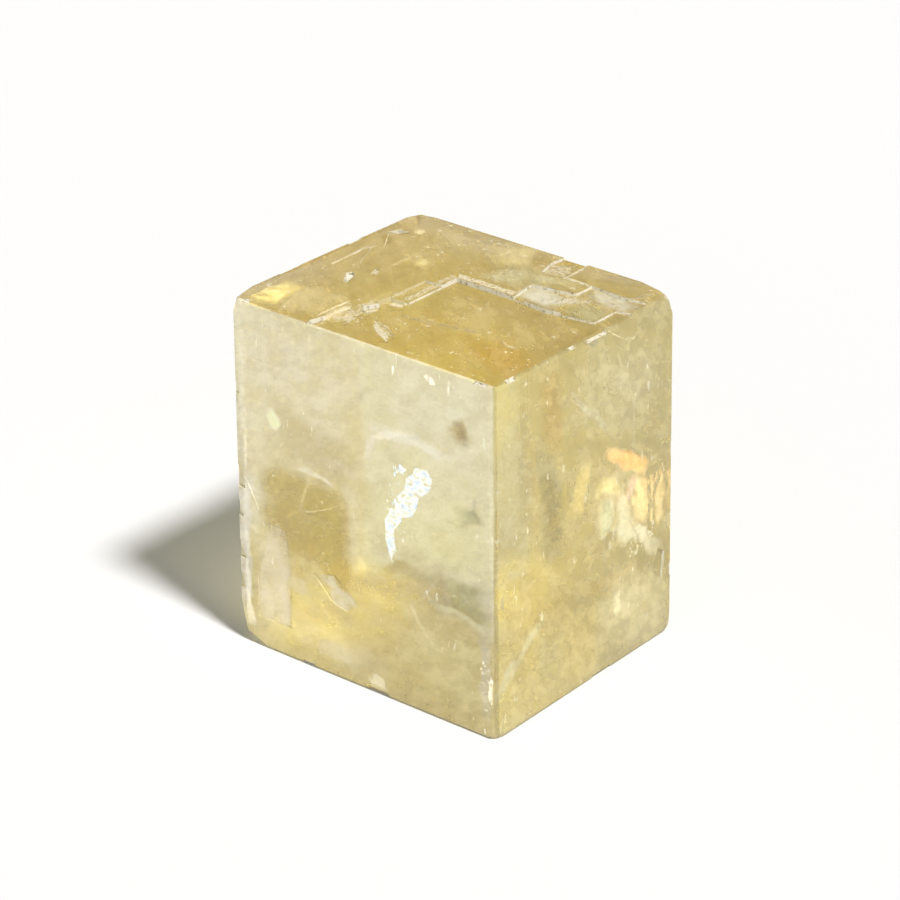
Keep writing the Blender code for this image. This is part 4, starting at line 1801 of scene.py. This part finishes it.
LEFT_VEILS: tuple[Veil, ...] = (
    # pale broken layers low on the left
    Veil(Face.FRONT_LEFT, 0.32, ((26.8, 3.1), (26.8, 7.0), (26.2, 9.2), (25.3, 12.6),
                                 (24.4, 13.0), (23.4, 12.6), (23.1, 8.6), (23.1, 3.1)),
         Tone.CREAM),
    Veil(Face.FRONT_LEFT, 0.36, ((26.3, 3.2), (26.3, 6.9), (23.4, 7.1), (23.3, 3.2)),
         Tone.CREAM),
    Veil(Face.FRONT_LEFT, 0.20, ((23.0, 7.0), (22.9, 8.4), (21.4, 8.5), (21.0, 7.2),
                                 (21.8, 6.8)), Tone.CREAM),
    Veil(Face.FRONT_LEFT, 0.34, ((28.0, 17.1), (27.4, 15.3), (26.7, 13.9), (25.8, 13.8),
                                 (25.7, 15.6), (26.3, 16.8), (27.3, 17.0)), Tone.CREAM),
    Veil(Face.FRONT_LEFT, 0.26, ((19.6, 9.6), (18.0, 10.0), (17.5, 9.0), (16.2, 8.8),
                                 (15.4, 7.9), (16.6, 6.9), (18.0, 7.2), (18.5, 8.8)),
         Tone.WHITE),
    Veil(Face.FRONT_LEFT, 0.50, ((14.2, 1.2), (13.4, 1.9), (12.4, 1.6), (12.2, 0.7),
                                 (13.8, 0.5)), Tone.WHITE),
    # broken rim along the left edge
    Veil(Face.FRONT_LEFT, 0.66, ((28.9, 15.4), (28.0, 14.6), (28.2, 12.0), (27.7, 10.4),
                                 (28.1, 8.0), (27.6, 6.4), (27.9, 4.0), (27.3, 2.4),
                                 (28.2, 1.8), (28.9, 4.0)), Tone.WHITE),
    Veil(Face.FRONT_LEFT, 0.62, ((28.9, 17.6), (28.0, 17.3), (27.9, 16.2), (28.6, 15.0),
                                 (28.9, 15.2)), Tone.WHITE),
    Veil(Face.FRONT_LEFT, 0.70, ((28.9, 14.2), (28.3, 13.8), (28.2, 12.6), (28.9, 12.2)),
         Tone.WHITE),
    Veil(Face.FRONT_LEFT, 0.70, ((28.9, 10.2), (28.1, 9.8), (28.0, 8.6), (28.9, 8.2)),
         Tone.BRIGHT),
    Veil(Face.FRONT_LEFT, 0.70, ((28.9, 7.8), (28.2, 7.2), (28.0, 6.4), (28.9, 6.0)),
         Tone.WHITE),
    Veil(Face.FRONT_LEFT, 0.60, ((28.8, 5.6), (28.3, 5.2), (27.6, 3.6), (27.2, 2.2),
                                 (27.9, 1.6), (28.6, 3.0)), Tone.WHITE),
    Veil(Face.FRONT_LEFT, 0.60, ((28.6, 29.6), (28.2, 29.2), (28.0, 28.4), (28.6, 27.8)),
         Tone.WHITE),
    Veil(Face.FRONT_LEFT, 0.60, ((28.7, 25.6), (28.3, 25.2), (28.2, 23.8), (28.7, 23.6)),
         Tone.WHITE),
    Veil(Face.FRONT_LEFT, 1.4, ((20.0, 3.6), (16.0, 3.4), (15.4, 1.6), (20.4, 1.4)),
         Tone.CREAM, faded=True),
    # arch
    Veil(Face.FRONT_LEFT, 0.9, ((14.2, 24.4), (12.4, 25.9), (10.6, 26.7), (8.4, 26.3),
                                (5.1, 25.4), (8.4, 25.6), (10.6, 25.8), (12.1, 25.1),
                                (13.4, 24.2), (13.6, 22.3)), Tone.CREAM, cuts=2),
    Veil(Face.FRONT_LEFT, 0.8, ((13.6, 24.9), (12.4, 25.8), (10.6, 26.5), (9.4, 26.3),
                                (10.6, 26.0), (12.2, 25.2)), Tone.WHITE, cuts=2),
    # painted glints: films that glow, blue-white, bright and golden
    Veil(Face.FRONT_LEFT, 0.8, ((6.8, 23.0), (7.3, 23.8), (8.6, 23.6), (8.9, 22.9), (9.6, 22.3),
                                (9.8, 21.2), (10.7, 20.2), (10.9, 18.9), (10.2, 18.3),
                                (9.0, 18.8), (8.5, 19.7), (8.2, 20.9), (7.2, 21.6),
                                (6.9, 22.4)), Tone.ICE, cuts=4),
    Veil(Face.FRONT_LEFT, 0.9, ((10.3, 18.9), (11.3, 18.9), (12.0, 17.6), (12.0, 15.8),
                                (11.4, 13.7), (10.9, 15.0), (11.1, 16.6), (10.2, 18.0)),
         Tone.ICE, cuts=4),
    Veil(Face.FRONT_LEFT, 1.1, ((9.7, 23.1), (10.3, 23.5), (10.5, 22.7), (9.9, 22.5)),
         Tone.ICE),
    Veil(Face.FRONT_LEFT, 1.6, ((24.9, 22.2), (24.7, 23.4), (24.1, 23.9), (23.7, 23.6),
                                (24.0, 22.8)), Tone.BRIGHT),
    Veil(Face.FRONT_LEFT, 1.3, ((25.6, 22.4), (24.8, 24.0), (23.2, 24.4), (23.7, 22.8),
                                (24.8, 21.8)), Tone.GOLD),
    Veil(Face.FRONT_LEFT, 1.4, ((28.2, 21.0), (27.2, 21.2), (26.9, 20.2), (27.9, 19.9)),
         Tone.GOLD),
    Veil(Face.FRONT_LEFT, 1.8, ((7.8, 10.8), (6.6, 12.4), (4.6, 12.6), (3.4, 11.4),
                                (5.6, 10.7)), Tone.OLIVE, faded=True),
    Veil(Face.FRONT_LEFT, 1.2, ((4.4, 14.4), (0.8, 14.2), (0.8, 11.2), (2.6, 11.0),
                                (4.4, 12.2)), Tone.OLIVE, faded=True),
    Veil(Face.FRONT_LEFT, 0.7, ((4.6, 29.4), (3.4, 29.5), (2.7, 27.2), (3.7, 27.4)),
         Tone.SMOKE),
    Veil(Face.FRONT_LEFT, 0.8, ((0.9, 20.5), (2.2, 21.5), (4.0, 21.0), (3.0, 20.5), (3.8, 19.5),
                                (2.2, 20.3)), Tone.SMOKE),
    Veil(Face.FRONT_LEFT, 0.8, ((2.0, 23.0), (2.6, 21.4), (2.1, 21.2)), Tone.SMOKE),
    # painted glints: a bright spot under the top edge and a bright streak on the front edge,
    # films that glow
    Veil(Face.FRONT_LEFT, 0.9, ((7.5, 32.6), (6.9, 33.0), (6.3, 32.1), (6.9, 32.0)),
         Tone.BRIGHT),
    Veil(Face.FRONT_LEFT, 0.5, ((0.9, 4.0), (0.6, 6.2), (0.4, 6.0), (0.5, 3.4)), Tone.BRIGHT),
    Veil(Face.FRONT_LEFT, 1.4, ((22.4, 19.2), (20.8, 19.8), (18.6, 19.4), (17.2, 18.6),
                                (18.8, 19.0), (20.8, 19.2)), Tone.WHITE, cuts=2),
)

RIGHT_VEILS: tuple[Veil, ...] = (
    Veil(Face.FRONT_RIGHT, 2.4, ((5.3, 27.4), (7.6, 26.8), (9.6, 21.0), (9.8, 14.6),
                                 (7.4, 13.6), (6.0, 16.0), (5.9, 22.0)), Tone.OLIVE,
         bend=0.2, faded=True),
    # painted reflections: golden and orange flames, films that glow
    Veil(Face.FRONT_RIGHT, 2.8, ((10.4, 22.0), (12.4, 22.2), (13.2, 19.6), (12.0, 16.6),
                                 (10.6, 18.4)), Tone.GOLD),
    Veil(Face.FRONT_RIGHT, 2.0, ((15.7, 22.4), (17.0, 21.4), (19.4, 20.2), (21.8, 18.6),
                                 (21.7, 17.5), (19.8, 18.4), (17.6, 19.5), (16.1, 20.9)),
         Tone.FLAME),
    Veil(Face.FRONT_RIGHT, 2.4, ((20.2, 17.4), (21.8, 17.0), (22.0, 13.4), (21.0, 12.8),
                                 (20.4, 14.8)), Tone.FLAME),
    Veil(Face.FRONT_RIGHT, 2.0, ((23.0, 15.2), (24.3, 15.6), (24.4, 11.6), (23.2, 12.2)),
         Tone.FLAME),
    Veil(Face.FRONT_RIGHT, 2.2, ((14.8, 18.8), (17.2, 19.0), (18.2, 16.8), (19.6, 14.8),
                                 (18.6, 13.8), (16.6, 14.4), (14.9, 15.4)), Tone.GOLD),
    Veil(Face.FRONT_RIGHT, 1.6, ((14.9, 16.4), (16.0, 17.2), (16.6, 15.6), (16.4, 13.8),
                                 (15.2, 14.2)), Tone.MIST),
    Veil(Face.FRONT_RIGHT, 2.8, ((15.4, 14.4), (20.0, 13.6), (22.6, 11.4), (22.4, 10.4),
                                 (18.2, 12.2)), Tone.CREAM, bend=0.2, faded=True),
    Veil(Face.FRONT_RIGHT, 1.8, ((16.7, 7.3), (17.6, 7.3), (18.4, 6.2), (18.3, 5.2),
                                 (17.4, 5.6)), Tone.FROST),
    Veil(Face.FRONT_RIGHT, 0.7, ((0.8, 13.6), (1.2, 13.4), (1.1, 12.3), (0.7, 12.6)),
         Tone.FROST),
    Veil(Face.FRONT_RIGHT, 0.6, ((12.9, 33.2), (15.6, 33.2), (15.2, 32.7), (13.6, 32.7)),
         Tone.FROST),
    Veil(Face.FRONT_RIGHT, 0.7, ((15.1, 31.9), (15.7, 31.6), (15.4, 31.0)), Tone.MIST),
    Veil(Face.FRONT_RIGHT, 0.7, ((8.3, 32.6), (8.6, 32.5), (8.5, 31.9)), Tone.FROST),
)

PLATE_SEEDS = 500   # what the seeds of plates are past those of sheets
VEILS: tuple[Veil, ...] = TOP_VEILS + LEFT_VEILS + RIGHT_VEILS

CRACKS: tuple[Crack, ...] = (
    # thin bright lines on the top
    Crack(Face.TOP, ((0.9, 23.0), (2.4, 21.5), (6.2, 21.9), (9.4, 22.1), (9.5, 24.0),
                     (10.2, 24.4)), 0.34, 0.24, Tone.FROST),
    Crack(Face.TOP, ((1.5, 19.0), (1.5, 16.0), (3.0, 15.6), (6.4, 15.1)), 0.30, 0.35,
          Tone.FROST),
    Crack(Face.TOP, ((1.6, 19.0), (4.2, 19.3), (6.3, 16.9)), 0.34, 0.30, Tone.FROST),
    Crack(Face.TOP, ((6.0, 19.6), (6.2, 21.8)), 0.30, 0.30, Tone.MIST),
    Crack(Face.TOP, ((6.2, 19.6), (10.5, 18.6), (10.4, 15.9)), 0.10, 0.35, Tone.FROST),
    Crack(Face.TOP, ((18.3, 13.4), (18.2, 8.6)), 0.26, 0.24, Tone.FROST),
    Crack(Face.TOP, ((7.5, 8.2), (12.0, 7.2), (15.8, 6.6)), 0.80, 0.60, Tone.MIST),
    Crack(Face.TOP, ((13.4, 10.3), (14.2, 10.4), (14.8, 11.0)), 0.70, 0.35, Tone.GOLD),
    Crack(Face.TOP, ((3.4, 7.6), (4.4, 7.4), (5.6, 8.0)), 0.70, 0.50, Tone.CREAM),
    Crack(Face.TOP, ((9.0, 2.0), (7.5, 0.4)), 0.70, 0.20, Tone.CREAM),
    Crack(Face.TOP, ((14.8, 5.2), (15.4, 6.2)), 0.60, 0.50, Tone.MIST),
    Crack(Face.TOP, ((25.2, 10.9), (27.1, 11.0), (27.2, 15.5)), 0.20, 0.20, Tone.CREAM),
    Crack(Face.TOP, ((24.5, 11.5), (25.5, 13.2), (26.3, 15.0), (27.2, 16.9)), 0.22, 0.35,
          Tone.MIST),
    Crack(Face.TOP, ((26.0, 17.0), (27.9, 20.0)), 0.18, 0.20, Tone.CREAM),
    Crack(Face.TOP, ((20.5, 5.8), (20.6, 1.5)), 0.55, 0.40, Tone.CREAM),
    Crack(Face.TOP, ((1.2, 13.2), (2.8, 13.8)), 0.60, 0.40, Tone.CREAM),
    Crack(Face.TOP, ((1.0, 24.2), (2.0, 22.6)), 0.10, 0.50, Tone.MIST),
    # under the top edge of the front left face; the bright streaks glow, painted light
    Crack(Face.FRONT_LEFT, ((4.9, 33.0), (5.0, 31.4)), 0.10, 0.25, Tone.BRIGHT),
    Crack(Face.FRONT_LEFT, ((10.9, 33.2), (11.0, 31.4)), 0.10, 0.25, Tone.BRIGHT),
    Crack(Face.FRONT_LEFT, ((15.2, 33.3), (15.2, 32.0)), 0.10, 0.20, Tone.WHITE),
    Crack(Face.FRONT_LEFT, ((20.2, 33.2), (20.4, 29.6)), 0.10, 0.25, Tone.CREAM),
    Crack(Face.FRONT_LEFT, ((24.5, 32.8), (24.5, 31.6)), 0.10, 0.20, Tone.WHITE),
    # golden corner of the front left face
    Crack(Face.FRONT_LEFT, ((22.6, 14.9), (20.6, 15.4), (18.4, 16.4), (16.6, 17.6)), 1.20,
          0.45, Tone.CREAM, fade=2.0),
    Crack(Face.FRONT_LEFT, ((26.9, 12.4), (25.4, 12.9), (23.8, 12.9)), 0.40, 0.50,
          Tone.GOLD),
    Crack(Face.FRONT_LEFT, ((28.2, 12.0), (26.8, 11.4), (25.8, 11.6)), 0.60, 0.50,
          Tone.CREAM),
    Crack(Face.FRONT_LEFT, ((18.2, 12.8), (17.4, 13.8)), 0.80, 0.60, Tone.GOLD),
    Crack(Face.FRONT_LEFT, ((28.4, 22.0), (27.8, 23.4), (26.8, 24.0)), 0.60, 0.40,
          Tone.CREAM),
    # dark crack high on the right of the front left face
    Crack(Face.FRONT_LEFT, ((1.3, 20.6), (2.4, 21.2), (3.8, 20.9)), 0.50, 0.50, Tone.SMOKE),
    Crack(Face.FRONT_LEFT, ((2.2, 22.8), (2.8, 21.2), (3.0, 20.0)), 0.50, 0.40, Tone.SMOKE),
    Crack(Face.FRONT_LEFT, ((4.0, 19.9), (5.6, 19.2)), 0.50, 0.40, Tone.SMOKE),
    Crack(Face.FRONT_LEFT, ((1.5, 15.8), (1.6, 16.5)), 0.40, 0.30, Tone.SMOKE),
    Crack(Face.FRONT_LEFT, ((8.2, 10.9), (7.4, 12.2), (6.4, 13.6)), 1.20, 0.70, Tone.CREAM),
    Crack(Face.FRONT_LEFT, ((9.4, 10.4), (8.6, 8.6), (6.8, 6.8)), 1.00, 0.40, Tone.CREAM),
    Crack(Face.FRONT_LEFT, ((7.8, 10.8), (4.6, 11.2), (1.6, 12.4)), 1.20, 0.50, Tone.GOLD),
    # front right face
    Crack(Face.FRONT_RIGHT, ((13.0, 13.0), (14.2, 12.5), (15.9, 11.6)), 0.60, 0.35,
          Tone.SMOKE),
    Crack(Face.FRONT_RIGHT, ((19.2, 14.6), (19.8, 12.9), (20.8, 11.3), (22.4, 10.2),
                             (24.0, 9.6)), 1.10, 0.70, Tone.MIST),
    Crack(Face.FRONT_RIGHT, ((7.2, 23.6), (8.2, 22.0), (9.4, 20.2)), 1.00, 0.60, Tone.SMOKE),
    # painted reflections in the flames: a golden and an orange crack that glow
    Crack(Face.FRONT_RIGHT, ((10.4, 21.6), (10.8, 18.6), (12.0, 16.8)), 1.40, 0.80,
          Tone.GOLD),
    Crack(Face.FRONT_RIGHT, ((17.0, 21.6), (18.2, 20.6), (20.2, 19.4)), 1.20, 0.60,
          Tone.FLAME),
    Crack(Face.FRONT_RIGHT, ((16.2, 33.2), (18.6, 31.6), (20.2, 31.4)), 0.50, 0.40,
          Tone.CREAM),
    Crack(Face.FRONT_RIGHT, ((10.2, 29.2), (12.6, 27.0), (13.0, 25.4)), 1.20, 0.60,
          Tone.CREAM),
)

SPECKS: tuple[Specks, ...] = (
    Specks(Face.FRONT_LEFT, (15.0, 18.0), (14.0, 17.0), 90, 0.30, 2.0, Tone.WHITE),
    Specks(Face.FRONT_LEFT, (7.0, 12.0), (7.0, 3.0), 40, 0.40, 2.5, Tone.GOLD),
    Specks(Face.FRONT_LEFT, (28.4, 20.0), (0.9, 14.0), 50, 0.70, 1.2, Tone.WHITE,
           (0.5, 1.0)),
    # painted glints: bright plates at the front edge, blue-white ones along the large glint and
    # golden ones at the small glint
    Specks(Face.FRONT_LEFT, (1.2, 4.5), (1.0, 3.0), 26, 0.35, 1.0, Tone.BRIGHT),
    Specks(Face.FRONT_LEFT, (11.0, 19.0), (1.2, 5.0), 30, 0.35, 1.6, Tone.ICE, (0.6, 1.4)),
    Specks(Face.FRONT_LEFT, (24.4, 23.2), (1.6, 1.4), 14, 0.35, 1.8, Tone.GOLD),
    # the flames of the front right face; the golden and orange plates are painted reflections
    Specks(Face.FRONT_RIGHT, (18.0, 16.0), (5.0, 4.0), 50, 0.70, 2.6, Tone.GOLD, (1.0, 0.6)),
    Specks(Face.FRONT_RIGHT, (18.0, 16.0), (5.0, 4.0), 30, 0.50, 2.4, Tone.MIST,
           (1.0, 0.6)),
    Specks(Face.FRONT_RIGHT, (21.4, 15.2), (3.0, 3.0), 40, 0.90, 1.6, Tone.FLAME, (0.4, 1.5)),
    Specks(Face.FRONT_RIGHT, (17.4, 15.0), (3.4, 3.4), 60, 0.90, 1.6, Tone.CREAM, (0.4, 1.5)),
    Specks(Face.FRONT_RIGHT, (12.0, 19.6), (1.2, 3.0), 26, 0.90, 1.6, Tone.GOLD, (0.4, 1.5)),
    Specks(Face.FRONT_RIGHT, (21.0, 11.0), (3.0, 2.0), 34, 0.70, 1.6, Tone.WHITE, (0.7, 1.0)),
    Specks(Face.FRONT_RIGHT, (12.0, 17.0), (10.0, 14.0), 50, 0.30, 2.0, Tone.MIST),
    Specks(Face.TOP, (19.0, 4.5), (1.4, 3.0), 40, 0.40, 0.9, Tone.FROST),
    Specks(Face.TOP, (5.0, 18.5), (4.0, 2.0), 60, 0.40, 0.9, Tone.MIST),
    Specks(Face.TOP, (15.0, 12.0), (13.0, 11.0), 70, 0.25, 1.6, Tone.MIST),
    Specks(Face.TOP, (10.6, 23.2), (1.4, 1.2), 20, 0.40, 0.9, Tone.FROST),
)


@dataclass
class InnerMarks:
    """All cracks, veils and specks of the crystal, joined into one piece for each finish.

    Attributes:
        veils: The flat healed cracks.
        cracks: The narrow cracks.
        specks: The groups of small plates.
        thickness: Thickness of the sheets, in millimetres.
        seed: Seed of their unevenness.
    """

    veils: tuple[Veil, ...]
    cracks: tuple[Crack, ...]
    specks: tuple[Specks, ...]
    thickness: float = 0.03
    seed: int = 31

    def build(self) -> list[bpy.types.Object]:
        """Model all marks and dress them.

        Returns:
            One piece for each finish in use.
        """
        pieces = []
        finishes = {finish.tone: finish for finish in VEIL_FINISHES}
        for tone in Tone:
            sheets = [mark.model(self.seed + number)
                      for number, mark in enumerate((*self.veils, *self.cracks))
                      if mark.tone is tone]
            plates = [group.model(self.seed + PLATE_SEEDS + number)
                      for number, group in enumerate(self.specks) if group.tone is tone]
            if sheets:
                sheet = HandTools.join(sheets, "sheets")
                HandTools.apply(sheet, "SOLIDIFY", thickness=self.thickness * MM, offset=0.0)
                plates.append(sheet)
            if plates:
                piece = HandTools.join(plates, tone.value + "_veils")
                piece.visible_shadow = False
                piece.data.materials.append(finishes[tone].material())
                pieces.append(piece)
        return pieces


# ---------------------------------------------------------------- the studio


SENSOR = 36.0   # the camera's sensor width, in millimetres


@dataclass
class Studio:
    """Floor, lights and camera.

    Attributes:
        camera_from_corner: The camera's place from the unworn front corner, in millimetres.
        heading: How far the camera turns from +Y towards +X, in degrees.
        pitch: How far it looks down, in degrees.
        roll: How far it is turned about its own axis, in degrees.
        focal: Focal length in frame widths.
        floor_size: Width of the floor, in metres.
        sun_towards: The way to the key light from the crystal.
        sun_strength: Its strength.
        sun_spread: Its angular size in degrees, which softens the shadow.
        low_sky: Brightness of the surroundings near the horizon.
        high_sky: Brightness overhead.
        fade_heights: Between which heights they fade from the one to the other, from 0 to 1.
        fill_towards: The way to the brightest part of the surroundings.
        fill_reach: Where that part starts and ends: 0 across that way, nearly 1 along it.
        fill_boost: How many times as bright they are there.
    """

    camera_from_corner: Point3 = EYE_FROM_CORNER
    heading: float = 8.886
    pitch: float = 32.339
    roll: float = 2.403
    focal: float = 2.7569
    floor_size: float = 6.0
    sun_towards: Point3 = (12.8, -4.5, 32.0)
    sun_strength: float = 3.75
    sun_spread: float = 10.0
    low_sky: float = 0.90
    high_sky: float = 0.09
    fade_heights: Point2 = (0.25, 0.60)
    fill_towards: Point3 = (-0.68, -0.73, 0.0)
    fill_reach: Point2 = (0.0, 0.9)
    fill_boost: float = 2.0

    def build(self) -> None:
        """Set the whole studio up."""
        self.floor()
        self.sun()
        self.sky()
        self.camera()
        self.light_paths()

    def floor(self) -> None:
        """A wide pale plane under the crystal."""
        HandTools.deselect()
        bpy.ops.mesh.primitive_plane_add(size=self.floor_size, location=(0, 0, -0.02 * MM))
        sheet = bpy.context.object
        sheet.name = "studio_floor"
        sheet.data.materials.append(PaleFloor().material())
        HandTools.deselect()

    def sun(self) -> None:
        """The wide key light, high and to the right."""
        bpy.ops.object.light_add(type="SUN", location=(0.2, 0.0, 0.6))
        lamp = bpy.context.object
        lamp.name = "key_light"
        lamp.data.energy = self.sun_strength
        lamp.data.angle = math.radians(self.sun_spread)
        lamp.data.color = (1.0, 0.99, 0.985)
        lamp.rotation_euler = Vector(self.sun_towards).to_track_quat("Z", "Y").to_euler()
        HandTools.deselect()

    def sky(self) -> None:
        """A white backdrop low down, dimmer overhead."""
        world = bpy.data.worlds.new("studio_white")
        bpy.context.scene.world = world
        world.cycles.sampling_method = "NONE"
        paint = Paint(world)
        way = paint.wire(paint.node("TexCoord"), "Generated")
        height = paint.split(way)[2]
        fade = paint.rise(height, *self.fade_heights, top=self.high_sky, bottom=self.low_sky)
        towards = paint.wire(paint.vector("DOT_PRODUCT", way, self.fill_towards), "Value")
        boost = paint.rise(towards, *self.fill_reach, top=self.fill_boost, bottom=1.0)
        glow = paint.node("Background", None, {"Strength": fade * boost})
        paint.node("OutputWorld", None, {"Surface": paint.wire(glow)})

    def camera(self) -> None:
        """The camera, at the view's own height, pitch and roll."""
        place = AXES.origin + Vector(self.camera_from_corner) * MM
        bpy.ops.object.camera_add(location=place)
        item = bpy.context.object
        item.name = "view_camera"
        turn = (Matrix.Rotation(math.radians(-self.heading), 4, "Z")
                @ Matrix.Rotation(math.radians(90.0 - self.pitch), 4, "X")
                @ Matrix.Rotation(math.radians(self.roll), 4, "Z"))
        item.rotation_euler = turn.to_euler()
        item.data.sensor_width = SENSOR
        item.data.lens = SENSOR * self.focal
        item.data.clip_start = 0.005
        item.data.clip_end = 50.0
        bpy.context.scene.camera = item
        HandTools.deselect()

    def light_paths(self) -> None:
        """Let light bounce often enough inside the crystal, and keep whites white."""
        scene = bpy.context.scene
        scene.view_settings.view_transform = "Standard"
        scene.view_settings.look = "None"
        cycles = scene.cycles
        cycles.max_bounces = 8
        cycles.diffuse_bounces = 3
        cycles.glossy_bounces = 5
        cycles.transmission_bounces = 8
        cycles.transparent_max_bounces = 16


def main() -> None:
    """Build every piece in order and report it."""
    body = CrystalBody().build()
    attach(body, BODY)
    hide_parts(NODE)
    LOG.info("%s: %d faces", body.name, len(body.data.polygons))
    for piece in InnerMarks(VEILS, CRACKS, SPECKS).build():
        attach(piece, BODY)
        LOG.info("%s: %d faces", piece.name, len(piece.data.polygons))
    Studio().build()
    LOG.info("studio ready")


if __name__ == "__main__":
    logging.basicConfig(level=logging.INFO, format="%(name)s: %(message)s")
    main()
